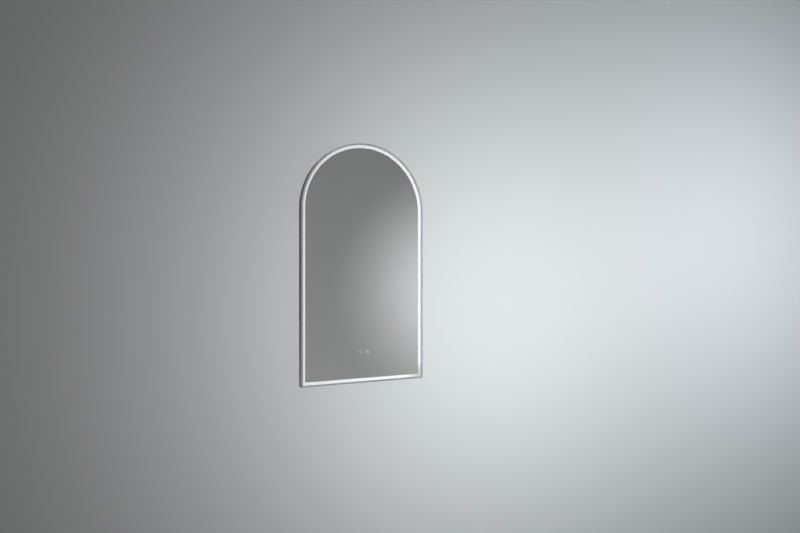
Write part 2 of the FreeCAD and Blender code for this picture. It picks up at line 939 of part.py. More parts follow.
def rivet(grip):
    """A blind rivet: a domed head, a shank through both sheets, and a tail spread over the front one."""
    radius = size("rivet_radius").number
    height = size("rivet_head_height").number
    head = domed_head(size("rivet_head_radius").number, height)
    tail = disc(radius * 1.4, height, grip.number)
    return disc(radius, grip.number, 0).multiFuse([head, tail]).removeSplitter()


def screw(length):
    """A pan-head screw with a cross recess: its head behind the origin's plane, its tip towards the room."""
    radius = size("screw_radius").number
    height = size("screw_head_height").number
    shank = disc(radius, length.number, 0)
    tip = [edge for edge in shank.Edges if edge.Closed and edge.CenterOfMass.y < -length.number / 2]
    shank = shank.makeChamfer(radius * 0.4, tip)
    solid = shank.fuse(domed_head(size("screw_head_radius").number, height)).removeSplitter()
    arm, slot = radius * 2.2, radius * 0.4
    for across, along in ((arm, slot), (slot, arm)):
        corner = FreeCAD.Vector(-across / 2, height / 2, -along / 2)
        solid = solid.cut(Part.makeBox(across, height, along, corner))
    return solid


def rows(places, off_wall):
    return [turned(across, off_wall, up) for across, up in places]


rivets = (
    ("hook_rivets", size("rail_metal") + size("pocket_metal"), hook_rivet_places, hook_plate_rear),
    ("pocket_rivets", size("panel_thickness") + size("pocket_metal"), pocket_rivet_places, panel_rear),
    ("wiring_box_rivets", size("panel_thickness") + size("wiring_wall"), wiring_rivet_places, panel_rear),
)
hook_rivets, pocket_rivets, wiring_box_rivets = [
    copies(name, rivet(grip), rows(places, rear)) for name, grip, places, rear in rivets
]

# ---- Screws of the back panel into the frame, and rivets of the channel to the back panel ----

screw_bore = size("screw_radius") + size("fit_clearance")
SIDE_STEPS = 4
side_screw_foot = low(panel_screw_line) + 28
side_screw_step = (spring_z - side_screw_foot) / SIDE_STEPS
arch_screw_places = [
    (panel_screw_line * side, side_screw_foot + side_screw_step * step)
    for side in (1, -1)
    for step in range(SIDE_STEPS)
]
for degrees in range(0, 181, 36):
    across, rise = around(panel_screw_line, degrees)
    arch_screw_places.append((across, spring_z + rise))
bottom_screw_places = [(panel_screw_line * share, low(panel_screw_line)) for share in (-0.6, 0, 0.6)]
panel_screw_places = arch_screw_places + bottom_screw_places

carrier_line = (web_inner + carrier_rear_inner) / 2
carrier_foot = low(carrier_line) + 70
carrier_step = (spring_z - carrier_foot) / (SIDE_STEPS - 1)
carrier_arch_places = [
    (carrier_line * side, carrier_foot + carrier_step * step)
    for side in (1, -1)
    for step in range(SIDE_STEPS)
]
for degrees in (45, 90, 135):
    across, rise = around(carrier_line, degrees)
    carrier_arch_places.append((across, spring_z + rise))
carrier_bottom_places = [(carrier_line * share, low(carrier_line)) for share in (-0.5, 0.5)]
carrier_rivet_places = carrier_arch_places + carrier_bottom_places

frame_arch = drilled(frame_arch, arch_screw_places, screw_bore, panel_front - 1, flange_front + 1)
frame_bottom_rail = drilled(
    frame_bottom_rail, bottom_screw_places, screw_bore, panel_front - 1, flange_front + 1
)
carrier_flange_front = panel_front + size("carrier_wall")
carrier_arch = drilled(
    carrier_arch, carrier_arch_places, size("rivet_radius"), panel_front - 1, carrier_flange_front + 1
)
carrier_bottom = drilled(
    carrier_bottom, carrier_bottom_places, size("rivet_radius"), panel_front - 1, carrier_flange_front + 1
)
panel_screws = copies(
    "panel_screws", screw(size("panel_screw_length")), rows(panel_screw_places, panel_rear)
)
carrier_rivets = copies(
    "carrier_rivets",
    rivet(size("panel_thickness") + size("carrier_wall")),
    rows(carrier_rivet_places, panel_rear),
)

# ---- Power supply: a base with ears, a cover, and a board on four stands ----

driver_half_height = size("driver_height") / 2
driver_wall = size("driver_wall")
driver_edges = (
    driver_x - driver_half,
    driver_x + driver_half,
    case_z - driver_half_height,
    case_z + driver_half_height,
)
driver_floor = panel_front + driver_wall
driver_top = panel_front + size("driver_depth")
driver_stand_top = driver_floor + size("driver_stand_height")
driver_board_front = driver_stand_top + size("driver_board_thickness")
driver_terminal_middle = driver_board_front + size("driver_terminal_height") / 2
board_edges = shrunk(driver_edges, driver_wall + size("driver_board_margin"))
ear_front = panel_front + size("driver_ear_thickness")
ear_places = [(driver_x + (driver_half + size("driver_ear") / 2) * side, case_z) for side in (1, -1)]


def slab(name, edges, off_wall):
    """A block between four edges, seen from the front, and two distances off the wall."""
    left, right, down, up = edges
    return box(name, (left, right), off_wall, (down, up))


rim_edges = shrunk(driver_edges, driver_wall + size("driver_play"))
rim_front = driver_floor + size("driver_skirt")
driver_rim = cut(
    "driver_rim",
    slab("driver_rim_outside", rim_edges, (driver_floor, rim_front)),
    [slab("driver_rim_inside", shrunk(rim_edges, driver_wall), (driver_floor, rim_front))],
)
ears = [
    box("driver_ear_" + side, (near, far), (panel_front, ear_front), ear_up)
    for ear_up in [(case_z - size("driver_ear_height") / 2, case_z + size("driver_ear_height") / 2)]
    for side, near, far in (
        ("left", driver_edges[0] - size("driver_ear"), driver_edges[0]),
        ("right", driver_edges[1], driver_edges[1] + size("driver_ear")),
    )
]
stand_left, stand_right, stand_low, stand_high = shrunk(driver_edges, size("driver_stand_inset"))
stands = [
    rod(f"driver_stand_{i}", size("driver_stand_radius"), across, (driver_floor, driver_stand_top), up)
    for i, (across, up) in enumerate(
        [(across, up) for across in (stand_left, stand_right) for up in (stand_low, stand_high)], start=1
    )
]
driver_base = fused(
    "driver_base",
    [slab("driver_plate", driver_edges, (panel_front, driver_floor)), driver_rim] + ears + stands,
)
driver_base = drilled(driver_base, ear_places, screw_bore, panel_front - 1, ear_front + 1)

mains_bore = size("mains_lead_radius") + size("lead_clearance")
cover_hollow = shrunk(driver_edges, driver_wall)
driver_cover = cut(
    "driver_cover",
    slab("driver_cover_outside", driver_edges, (driver_floor, driver_top)),
    [
        slab("driver_cover_inside", cover_hollow, (driver_floor, driver_top - driver_wall)),
        rod(
            "driver_cover_mains_hole",
            mains_bore,
            (driver_edges[0] - 1, driver_edges[0] + driver_wall + 1),
            driver_terminal_middle,
            case_z,
        ),
        rod(
            "driver_cover_lead_hole",
            lead_bore,
            (driver_edges[1] - driver_wall - 1, driver_edges[1] + 1),
            driver_terminal_middle,
            case_z,
        ),
    ],
)
driver_board = slab("driver_board", board_edges, (driver_stand_top, driver_board_front))

driver_terminal_right = board_edges[1] - size("driver_terminal_length")
driver_terminal = Part.makeBox(
    size("driver_terminal_length").number,
    size("driver_terminal_height").number,
    size("driver_terminal_width").number,
)
terminal_low = case_z - size("driver_terminal_width") / 2
terminal_front = driver_board_front + size("driver_terminal_height")
driver_terminals = copies(
    "driver_terminals",
    driver_terminal,
    [turned(left, terminal_front, terminal_low) for left in (board_edges[0], driver_terminal_right)],
)

transformer_x = driver_x - size("transformer_offset")
transformer_half_width = size("transformer_width") / 2
driver_transformer = box(
    "driver_transformer",
    (transformer_x - size("transformer_length") / 2, transformer_x + size("transformer_length") / 2),
    (driver_board_front, driver_board_front + size("transformer_height")),
    (case_z - transformer_half_width, case_z + transformer_half_width),
)
capacitor = disc(size("capacitor_radius").number, size("capacitor_height").number, 0)
capacitor_x = driver_x + size("capacitor_offset")
driver_capacitors = copies(
    "driver_capacitors",
    capacitor,
    [turned(capacitor_x + size("capacitor_pitch") * step, driver_board_front, case_z) for step in range(3)],
)
driver_screws = copies(
    "driver_screws",
    screw(size("panel_thickness") + size("driver_ear_thickness")),
    rows(ear_places, panel_rear),
)

# ---- Wiring box, let into the back panel, with the mains terminals and the cable clamp ----

terminal_x = wiring_x + size("terminal_offset")
terminal_half = size("terminal_length") / 2
terminal_half_width = size("terminal_width") / 2
terminal_rear = wiring_floor - size("terminal_height")
terminal_middle = (terminal_rear + wiring_floor) / 2
grommet_x = wiring_x - size("grommet_offset")
clamp_x = wiring_x - size("clamp_offset")
supply_x = terminal_x + size("terminal_pitch")
earth_x = terminal_x - size("terminal_pitch")

boss_left, boss_right, boss_low, boss_high = shrunk(wiring_edges, size("boss_inset"))
boss_places = [(across, up) for across in (boss_left, boss_right) for up in (boss_low, boss_high)]
bosses = [
    rod(f"wiring_box_boss_{i}", size("boss_radius"), across, (panel_front, wiring_floor), up)
    for i, (across, up) in enumerate(boss_places, start=1)
]
wiring_tray = sunk_tray(
    "wiring_box_tray", wiring_edges, size("wiring_flange"), size("wiring_wall"), wiring_floor
)
right_wall = (wiring_edges[1] - size("wiring_wall") - 1, wiring_edges[1] + 1)
lower_wall = (wiring_edges[2] - 1, wiring_edges[2] + size("wiring_wall") + 1)
upper_wall = (wiring_edges[3] - size("wiring_wall") - 1, wiring_edges[3] + 1)
lead_holes = [
    rod("wiring_box_mains_hole", mains_bore, right_wall, driver_terminal_middle, case_z),
    rod("wiring_box_supply_hole", lead_bore, supply_x, terminal_middle, lower_wall),
    rod("wiring_box_earth_hole", lead_bore, earth_x, terminal_middle, upper_wall),
]
wiring_box = cut("wiring_box", fused("wiring_box_with_bosses", [wiring_tray] + bosses), lead_holes)
wiring_box = drilled(
    wiring_box, boss_places, screw_bore, panel_front - 1, panel_front + size("cover_screw_length")
)
clamp_screw_rise = size("clamp_length") / 2 - size("clamp_screw_inset")
clamp_screw_places = [(clamp_x, case_z + clamp_screw_rise * side) for side in (1, -1)]
wiring_box = drilled(
    wiring_box, clamp_screw_places, screw_bore, wiring_floor - 1, wiring_floor + size("wiring_wall") + 1
)
brim_front = panel_front + size("wiring_wall")
wiring_box = drilled(
    wiring_box, wiring_rivet_places, size("rivet_radius"), panel_front - 1, brim_front + 1
)

cover_rear = panel_front - size("cover_thickness")
cover_edges = shrunk(wiring_edges, size("wiring_wall") + size("cover_clearance"))
wiring_cover = drilled(
    slab("wiring_cover", cover_edges, (cover_rear, panel_front)),
    boss_places,
    screw_bore,
    cover_rear - 1,
    panel_front + 1,
)
wiring_cover = drilled(
    wiring_cover,
    [(grommet_x, case_z)],
    size("grommet_neck") + size("fit_clearance"),
    cover_rear - 1,
    panel_front + 1,
)
wiring_cover_screws = copies(
    "wiring_cover_screws", screw(size("cover_screw_length")), rows(boss_places, cover_rear)
)

grommet_rear = cover_rear - size("grommet_flange")
grommet_front = panel_front + size("grommet_flange")
grommet_turns = [
    rod("grommet_" + name, radius, grommet_x, span, case_z)
    for name, radius, span in (
        ("rear_flange", size("grommet_radius"), (grommet_rear, cover_rear)),
        ("neck", size("grommet_neck"), (grommet_rear, grommet_front)),
        ("front_flange", size("grommet_radius"), (panel_front, grommet_front)),
    )
]
cable_grommet = drilled(
    fused("cable_grommet", grommet_turns),
    [(grommet_x, case_z)],
    size("grommet_bore"),
    grommet_rear - 1,
    grommet_front + 1,
)

terminal_places = [
    (terminal_x + size("terminal_pitch") * step, case_z + terminal_half_width / 2 * side)
    for step in (-1, 0, 1)
    for side in (1, -1)
]
well_front = terminal_rear + size("terminal_well_depth")
terminal_block = drilled(
    box(
        "terminal_block",
        (terminal_x - terminal_half, terminal_x + terminal_half),
        (terminal_rear, wiring_floor),
        (case_z - terminal_half_width, case_z + terminal_half_width),
    ),
    terminal_places,
    size("terminal_screw_radius") + size("fit_clearance"),
    terminal_rear - 1,
    well_front,
)
grub = disc(size("terminal_screw_radius").number, size("terminal_screw_length").number, 0)
slot_width = size("terminal_screw_radius").number * 0.4
slot_length = size("terminal_screw_radius").number * 3
slot_corner = FreeCAD.Vector(-slot_length / 2, -slot_width, -slot_width / 2)
grub = grub.cut(Part.makeBox(slot_length, slot_width, slot_width, slot_corner))
terminal_screws = copies(
    "terminal_screws", grub, rows(terminal_places, well_front - size("terminal_screw_length"))
)

clamp_foot = wiring_floor - size("clamp_thickness")
clamp_roof_front = wiring_floor - size("clamp_opening")
clamp_roof_rear = clamp_roof_front - size("clamp_thickness")
clamp_end = size("clamp_length") / 2
clamp_gap = size("clamp_opening") / 2
clamp_side = clamp_gap + size("clamp_thickness")
cord_clamp = new_body("cord_clamp")
clamp_section = sketch_on(cord_clamp, "cord_clamp_section", "YZ_Plane")
half_clamp = [
    (clamp_foot, clamp_end),
    (clamp_foot, clamp_side),
    (clamp_roof_rear, clamp_side),
]
far_half = [(-off_wall, case_z - rise) for off_wall, rise in reversed(half_clamp)]
near_half = [(-off_wall, case_z + rise) for off_wall, rise in half_clamp]
draw_polygon(
    clamp_section,
    [(-wiring_floor, case_z + clamp_end)]
    + near_half
    + far_half
    + [
        (-wiring_floor, case_z - clamp_end),
        (-wiring_floor, case_z - clamp_gap),
        (-clamp_roof_front, case_z - clamp_gap),
        (-clamp_roof_front, case_z + clamp_gap),
        (-wiring_floor, case_z + clamp_gap),
    ],
)
pad(cord_clamp, clamp_section, size("clamp_width"), both_ways=True)
bind(cord_clamp, Placement__Base__x=clamp_x)
cord_clamp = drilled(cord_clamp, clamp_screw_places, screw_bore, clamp_foot - 1, wiring_floor + 1)
cord_clamp_screws = copies(
    "cord_clamp_screws", screw(size("clamp_screw_length")), rows(clamp_screw_places, clamp_foot)
)

# ---- Heating film and touch sensors on the back of the glass ----

heater_half = size("heater_width") / 2
heater_low = wiring_edges[3] + size("heater_gap")
heater_high = spring_z + across_at(tape_inner - size("heater_margin"), heater_half)
film_rear = glass_rear - size("heater_thickness")
heater_film = box(
    "heater_film",
    (-heater_half, heater_half),
    (film_rear, glass_rear),
    (heater_low, heater_high),
)
tab_left = -heater_half + size("heater_tab_inset")
tab_x = tab_left + size("heater_tab_size") / 2
heater_tab = box(
    "heater_tab",
    (tab_left, tab_left + size("heater_tab_size")),
    (film_rear - size("heater_tab_depth"), film_rear),
    (heater_low, heater_low + size("heater_tab_size")),
)

touch_z = bottom_z + size("touch_height")
touch_x = size("touch_spacing") / 2
pad_rear = glass_rear - size("touch_pad_thickness")
board_rear = pad_rear - size("board_thickness")
touch_plug_rear = board_rear - size("touch_plug_depth")
touch_plug_middle = (touch_plug_rear + board_rear) / 2
board_low = touch_z - size("board_height") / 2
board_high = touch_z + size("board_height") / 2
touch_pads = copies(
    "touch_pads",
    disc(size("touch_pad_radius").number, size("touch_pad_thickness").number, 0),
    [turned(touch_x * side, pad_rear, touch_z) for side in (-1, 1)],
)


def block_at_each_switch(name, width, depth, height, front, lows):
    """The same block on the centre line of the left and of the right switch, at two heights."""
    block = Part.makeBox(width.number, depth.number, height.number)
    return copies(
        name,
        block,
        [turned(touch_x * side - width / 2, front, low_edge) for side, low_edge in zip((-1, 1), lows)],
    )


touch_boards = block_at_each_switch(
    "touch_boards",
    size("board_width"),
    size("board_thickness"),
    size("board_height"),
    pad_rear,
    (board_low, board_low),
)
chip_low = touch_z - size("board_chip") / 2
touch_chips = block_at_each_switch(
    "touch_chips",
    size("board_chip"),
    size("board_chip_height"),
    size("board_chip"),
    board_rear,
    (chip_low, chip_low),
)
touch_plugs = block_at_each_switch(
    "touch_plugs",
    size("touch_plug_width"),
    size("touch_plug_depth"),
    size("touch_plug_height"),
    board_rear,
    (board_high - size("touch_plug_height"), board_low),
)

# ---- Leads, laid on the back panel in clips ----

lead_level = panel_front + size("clip_wall") + size("lead_clearance") + size("lead_radius")
wire_half = size("touch_wire_spacing") / 2
ring_z = case_z + size("earth_rise")
ring_tail_low = ring_z - size("earth_tail_length")
barrel_middle = panel_front + size("earth_tail_width") / 2

right_run = (driver_edges[1] + size("driver_ear") + carrier_rear_inner) / 2
inner_right_run = right_run - size("inner_lane")
upper_run = board_high + size("upper_lane")
under_upper_run = upper_run - size("lead_spacing")
lower_run = board_low - size("lower_lane")
under_lower_run = lower_run - size("lead_spacing")
left_run = (wiring_edges[0] - size("wiring_flange") - carrier_rear_inner) / 2
light_in, light_out = -touch_x - wire_half, -touch_x + wire_half
heater_in, heater_out = touch_x - wire_half, touch_x + wire_half

light_feed_route = [
    (board_edges[1], driver_terminal_middle, case_z),
    (right_run, driver_terminal_middle, case_z),
    (right_run, driver_terminal_middle, case_z - 24),
    (right_run, lead_level, case_z - 38),
    (right_run, lead_level, upper_run),
    (light_in, lead_level, upper_run),
    (light_in, lead_level, board_high + 22),
    (light_in, touch_plug_middle, board_high + 8),
    (light_in, touch_plug_middle, board_high),
]
lamp_route = [
    (light_out, touch_plug_middle, board_high),
    (light_out, touch_plug_middle, board_high + 6),
    (light_out, lead_level, board_high + 16),
    (light_out, lead_level, under_upper_run),
    (inner_right_run, lead_level, under_upper_run),
    (inner_right_run, lead_level, plug_middle),
    (inner_right_run + 16, lead_level, plug_middle),
    (web_inner - 10, lamp_middle, plug_middle),
    (web_outer, lamp_middle, plug_middle),
]
heater_feed_route = [
    (supply_x, terminal_middle, case_z - terminal_half_width),
    (supply_x, terminal_middle, wiring_edges[2] - 10),
    (supply_x, lead_level, wiring_edges[2] - 22),
    (supply_x, lead_level, lower_run),
    (heater_in, lead_level, lower_run),
    (heater_in, lead_level, board_low - 24),
    (heater_in, touch_plug_middle, board_low - 9),
    (heater_in, touch_plug_middle, board_low),
]
heater_route = [
    (heater_out, touch_plug_middle, board_low),
    (heater_out, touch_plug_middle, board_low - 9),
    (heater_out, lead_level, board_low - 24),
    (heater_out, lead_level, under_lower_run),
    (left_run, lead_level, under_lower_run),
    (left_run, lead_level, heater_low - 42),
    (tab_x, lead_level, heater_low - 27),
    (tab_x, film_rear - size("heater_tab_depth") / 2, heater_low - 11),
    (tab_x, film_rear - size("heater_tab_depth") / 2, heater_low),
]
mains_route = [
    (terminal_x + terminal_half, driver_terminal_middle, case_z),
    (board_edges[0], driver_terminal_middle, case_z),
]
earth_route = [
    (earth_x, terminal_middle, case_z + terminal_half_width),
    (earth_x, terminal_middle, wiring_edges[3] + 5),
    (earth_x, barrel_middle, wiring_edges[3] + 14),
    (earth_x, barrel_middle, ring_tail_low),
]


BEND_SHARE = 0.45


def bend_reach(points, corner):
    """How far from a point of a route its arc starts: a share of the shorter run, and none at an end."""
    if corner in (0, len(points) - 1):
        return 0
    runs = [points[beside] - points[corner] for beside in (corner - 1, corner + 1)]
    return BEND_SHARE * min(run.Length for run in runs)


def path_along(route):
    """The route as straight runs with a tangent arc at each point, and the radii of the arcs."""
    points = [place_of(*stop) for stop in route]
    edges, radii = [], []
    here = points[0]
    for number in range(1, len(points) - 1):
        corner = points[number]
        back, ahead = points[number - 1] - corner, points[number + 1] - corner
        reach = bend_reach(points, number)
        half_turn = (math.pi - back.getAngle(ahead)) / 2
        radius = reach / math.tan(half_turn)
        back.normalize()
        ahead.normalize()
        start, end = corner + back * reach, corner + ahead * reach
        inwards = (back + ahead).normalize()
        middle = corner + inwards * (radius / math.cos(half_turn) - radius)
        edges += [Part.LineSegment(here, start).toShape(), Part.Arc(start, middle, end).toShape()]
        radii.append(radius)
        here = end
    edges.append(Part.LineSegment(here, points[-1]).toShape())
    return Part.Wire(edges), radii


def lead(name, route, radius):
    """A round lead along a route, with its ends square to it."""
    path, radii = path_along(route)
    start = place_of(*route[0])
    ring = Part.Wire(Part.Circle(start, place_of(*route[1]) - start, radius.number).toShape())
    tube = path.makePipeShell([ring], True, False)
    expected = math.pi * radius.number**2 * path.Length
    listed = ", ".join(f"{value:.1f}" for value in radii)
    print(f"{name}: {path.Length:.0f} mm, {tube.Volume / expected:.4f} of section x length, radii {listed}")
    return feature(name, tube)


mains_lead = lead("mains_lead", mains_route, size("mains_lead_radius"))
light_feed_lead, lamp_lead, heater_feed_lead, heater_lead, earth_lead = [
    lead(name, route, size("lead_radius"))
    for name, route in (
        ("light_feed_lead", light_feed_route),
        ("lamp_lead", lamp_route),
        ("heater_feed_lead", heater_feed_route),
        ("heater_lead", heater_route),
        ("earth_lead", earth_route),
    )
]


def clip():
    """A stick-on clip for a lead along Z: a foot on the origin's plane and a saddle round the lead."""
    width, length = size("clip_width").number, size("clip_length").number
    wall, saddle_length = size("clip_wall").number, size("clip_saddle_length").number
    axis = (lead_level - panel_front).number
    foot = Part.makeBox(width, wall, length, FreeCAD.Vector(-width / 2, -wall, -length / 2))
    start = FreeCAD.Vector(0, -axis, -saddle_length / 2)
    saddle = Part.makeCylinder(lead_bore.number + wall, saddle_length, start)
    below = Part.makeBox(width, axis, length, FreeCAD.Vector(-width / 2, 0, -length / 2))
    bore = Part.makeCylinder(lead_bore.number, length, FreeCAD.Vector(0, -axis, -length / 2))
    return foot.fuse(saddle).cut(below).cut(bore).removeSplitter()


def clips_on(route, run, shares):
    """Clips at shares of the straight part of one run of a lead, turned to lie along it."""
    points = [place_of(*stop) for stop in route]
    along = (points[run + 1] - points[run]).normalize()
    start = points[run] + along * bend_reach(points, run)
    end = points[run + 1] - along * bend_reach(points, run + 1)
    degrees = 90 if abs(along.x) > abs(along.z) else 0
    spots = [start + (end - start) * share for share in shares]
    return [turned(spot.x, panel_front, spot.z, degrees) for spot in spots]


lead_clips = copies(
    "lead_clips",
    clip(),
    clips_on(light_feed_route, 3, (0.5,))
    + clips_on(light_feed_route, 4, (0.1, 0.5, 0.9))
    + clips_on(lamp_route, 3, (0.2, 0.8))
    + clips_on(lamp_route, 4, (0.5,))
    + clips_on(heater_feed_route, 2, (0.1, 0.5, 0.9))
    + clips_on(heater_feed_route, 3, (0.5,))
    + clips_on(heater_route, 3, (0.2, 0.8))
    + clips_on(heater_route, 4, (0.1, 0.5, 0.9)),
)

# ---- Earth connection of the back panel ----

bolt_bore = size("earth_bolt_radius") + size("fit_clearance")
ring_front = panel_front + size("earth_ring_thickness")
tail_half = size("earth_tail_width") / 2
tail_sides = (earth_x - tail_half, earth_x + tail_half)
barrel_top = ring_tail_low + size("earth_barrel_length")
earth_ring = fused(
    "earth_ring",
    [
        rod("earth_ring_disc", size("earth_ring_radius"), earth_x, (panel_front, ring_front), ring_z),
        box("earth_ring_tail", tail_sides, (panel_front, ring_front), (ring_tail_low, ring_z)),
        box(
            "earth_ring_barrel",
            tail_sides,
            (panel_front, panel_front + size("earth_tail_width")),
            (ring_tail_low, barrel_top),
        ),
    ],
)
earth_places = [(earth_x, ring_z)]
earth_ring = drilled(earth_ring, earth_places, bolt_bore, panel_front - 1, ring_front + 1)
earth_bolt = fused(
    "earth_bolt",
    [
        rod(
            "earth_bolt_head",
            size("earth_nut_radius"),
            earth_x,
            (panel_rear - size("screw_head_height"), panel_rear),
            ring_z,
        ),
        rod(
            "earth_bolt_shank",
            size("earth_bolt_radius"),
            earth_x,
            (panel_rear, panel_rear + size("earth_bolt_length")),
            ring_z,
        ),
    ],
)
hexagon = doc.addObject("Part::Prism", "earth_nut")
hexagon.Polygon = 6
hexagon.Placement.Rotation = FreeCAD.Rotation(FreeCAD.Vector(1, 0, 0), 90)
bind(
    hexagon,
    Circumradius=size("earth_nut_radius"),
    Height=size("earth_nut_height"),
    Placement__Base__x=earth_x,
    Placement__Base__y=-ring_front,
    Placement__Base__z=ring_z,
)
earth_nut = drilled(
    hexagon,
    earth_places,
    size("earth_bolt_radius") + size("fit_clearance") / 2,
    ring_front - 1,
    ring_front + size("earth_nut_height") + 1,
)

# ---- Back panel ----

VENT_ROWS = 6
back_panel = arch_plate("back_panel", panel_half, panel_rear, size("panel_thickness"))
windows = sketch_on(back_panel, "back_panel_windows", "XZ_Plane", panel_rear)
draw_rectangle(windows, *shrunk(pocket_edges, size("pocket_metal")))
draw_rectangle(windows, *shrunk(wiring_edges, size("wiring_wall")))
pocket_through(back_panel, windows)
vent = sketch_on(back_panel, "back_panel_vent", "XZ_Plane", panel_rear)
vent_low = bottom_z + size("vent_rise")
vent_half = size("vent_length") / 2
draw_rectangle(vent, driver_x - vent_half, driver_x + vent_half, vent_low, vent_low + size("vent_width"))
vent_cut = pocket_through(back_panel, vent)
vent_row = back_panel.newObject("PartDesign::LinearPattern", "back_panel_vents")
vent_row.Originals = [vent_cut]
vent_row.Direction = (vent, ["V_Axis"])
vent_row.Occurrences = VENT_ROWS
vent_row.setExpression("Length", (size("vent_pitch") * (VENT_ROWS - 1)).text)
back_panel.Tip = vent_row
for name, places, radius in (
    ("screw", panel_screw_places + ear_places, screw_bore),
    ("rivet", pocket_rivet_places + wiring_rivet_places + carrier_rivet_places, size("rivet_radius")),
    ("earth", earth_places, bolt_bore),
):
    holes = sketch_on(back_panel, f"back_panel_{name}_holes", "XZ_Plane", panel_rear)
    draw_circles(holes, places, radius)
    pocket_through(back_panel, holes)

bumper = disc(size("bumper_radius").number, size("panel_stand").number, 0)
bumper_x = half_width - size("bumper_edge")
wall_bumpers = copies(
    "wall_bumpers",
    bumper,
    [turned(bumper_x * side, ZERO, up) for side in (1, -1) for up in (low(bumper_x), spring_z)],
)

# ---- Writing one file for each piece ----

PIECES = [
    wall_rail,
    frame_arch,
    frame_bottom_rail,
    corner_key_left,
    corner_key_right,
    diffuser_arch,
    diffuser_bottom,
    mirror_glass,
    bonding_tape,
    carrier_arch,
    carrier_bottom,
    carrier_rivets,
    lamp_strip,
    lamps,
    lamp_plug,
    heater_film,
    heater_tab,
    touch_pads,
    touch_boards,
    touch_chips,
    touch_plugs,
    back_panel,
    panel_screws,
    wall_bumpers,
    hanger_pocket,
    pocket_rivets,
    hook_rail,
    hook_rivets,
    driver_base,
    driver_cover,
    driver_board,
    driver_terminals,
    driver_transformer,
    driver_capacitors,
    driver_screws,
    wiring_box,
    wiring_box_rivets,
    wiring_cover,
    wiring_cover_screws,
    cable_grommet,
    terminal_block,
    terminal_screws,
    cord_clamp,
    cord_clamp_screws,
    mains_lead,
    light_feed_lead,
    lamp_lead,
    heater_feed_lead,
    heater_lead,
    lead_clips,
    earth_lead,
    earth_ring,
    earth_bolt,
    earth_nut,
]

doc.recompute()
for thing in doc.Objects:
    if "Invalid" in thing.State or "Error" in thing.State:
        raise RuntimeError(f"{thing.Name} is {thing.State}")
for piece in PIECES:
    if piece.Shape.isNull() or not piece.Shape.isValid():
        raise RuntimeError(f"{piece.Label} has no valid shape")

os.makedirs("parts", exist_ok=True)
for piece in PIECES:
    piece.Shape.exportStep(f"parts/{piece.Label}.step")
print(f"{len(PIECES)} pieces written")
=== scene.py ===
"""Dresses the arch-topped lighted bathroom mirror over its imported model.

The model's frame: metres, +Z up, +X to the right as someone looks into the mirror, -Y towards them, and the
wall at Y = 0. New pieces are modelled where they belong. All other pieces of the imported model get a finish.
"""

import math

import bmesh
import bpy
from mathutils import Matrix, Vector


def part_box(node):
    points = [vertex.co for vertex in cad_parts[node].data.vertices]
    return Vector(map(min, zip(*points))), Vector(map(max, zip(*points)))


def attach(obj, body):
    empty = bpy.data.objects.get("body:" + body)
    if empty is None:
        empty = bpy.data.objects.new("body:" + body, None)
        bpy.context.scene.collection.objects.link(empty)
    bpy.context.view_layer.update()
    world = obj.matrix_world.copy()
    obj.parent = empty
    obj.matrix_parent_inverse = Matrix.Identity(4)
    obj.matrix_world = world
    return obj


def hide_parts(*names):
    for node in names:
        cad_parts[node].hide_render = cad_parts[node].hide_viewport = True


bl_info = {
    "name": "Lighted arch mirror",
    "version": (1, 0, 0),
    "blender": (4, 5, 0),
    "location": "3D View > Sidebar > Mirror",
    "description": "Frame, light strip, glass, back and fittings of an arch-topped lighted mirror",
    "category": "Object",
}

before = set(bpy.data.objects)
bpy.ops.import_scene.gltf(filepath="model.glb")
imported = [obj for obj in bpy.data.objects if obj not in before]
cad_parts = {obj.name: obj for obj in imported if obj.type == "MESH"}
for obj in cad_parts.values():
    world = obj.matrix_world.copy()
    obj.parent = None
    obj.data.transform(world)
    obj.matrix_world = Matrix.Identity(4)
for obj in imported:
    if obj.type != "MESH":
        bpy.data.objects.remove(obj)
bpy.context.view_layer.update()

MM = 0.001
TOUCHING = 0.02 * MM
# the frame's edges are smoothed below this many degrees, so that its flat faces stay flat
FLAT_FACES = 12
BODY = "mirror"

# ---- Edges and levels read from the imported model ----

OUTSIDE_LOW, OUTSIDE_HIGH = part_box("frame_arch")
GLASS_LOW, GLASS_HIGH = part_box("mirror_glass")
HALF_WIDTH = OUTSIDE_HIGH.x
FOOT = OUTSIDE_LOW.z
SPRING = OUTSIDE_HIGH.z - HALF_WIDTH
FRONT = OUTSIDE_LOW.y
REAR = OUTSIDE_HIGH.y
GLASS_FRONT = GLASS_LOW.y
GLASS_REAR = GLASS_HIGH.y
GLASS_HALF = GLASS_HIGH.x
GLASS_FOOT = GLASS_LOW.z
PANEL_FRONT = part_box("back_panel")[0].y


def linear(code):
    """A colour written as sRGB hex, as linear values."""
    parts = [int(code[i : i + 2], 16) / 255 for i in (1, 3, 5)]
    return [part / 12.92 if part <= 0.04045 else ((part + 0.055) / 1.055) ** 2.4 for part in parts]


def number(name, description, value, **more):
    """A number that a user may change."""
    return bpy.props.FloatProperty(name=name, description=description, default=value, **more)


def length(name, description, millimetres):
    """A length that a user may change, given here in millimetres."""
    return number(name, description, millimetres * MM, subtype="DISTANCE", unit="LENGTH", precision=5)


def angle(name, description, degrees):
    """An angle that a user may change, given here in degrees."""
    return number(name, description, math.radians(degrees), subtype="ANGLE")


def colour(name, description, code):
    """A colour that a user may change."""
    return bpy.props.FloatVectorProperty(
        name=name, description=description, default=linear(code), subtype="COLOR", size=3, min=0, max=1
    )


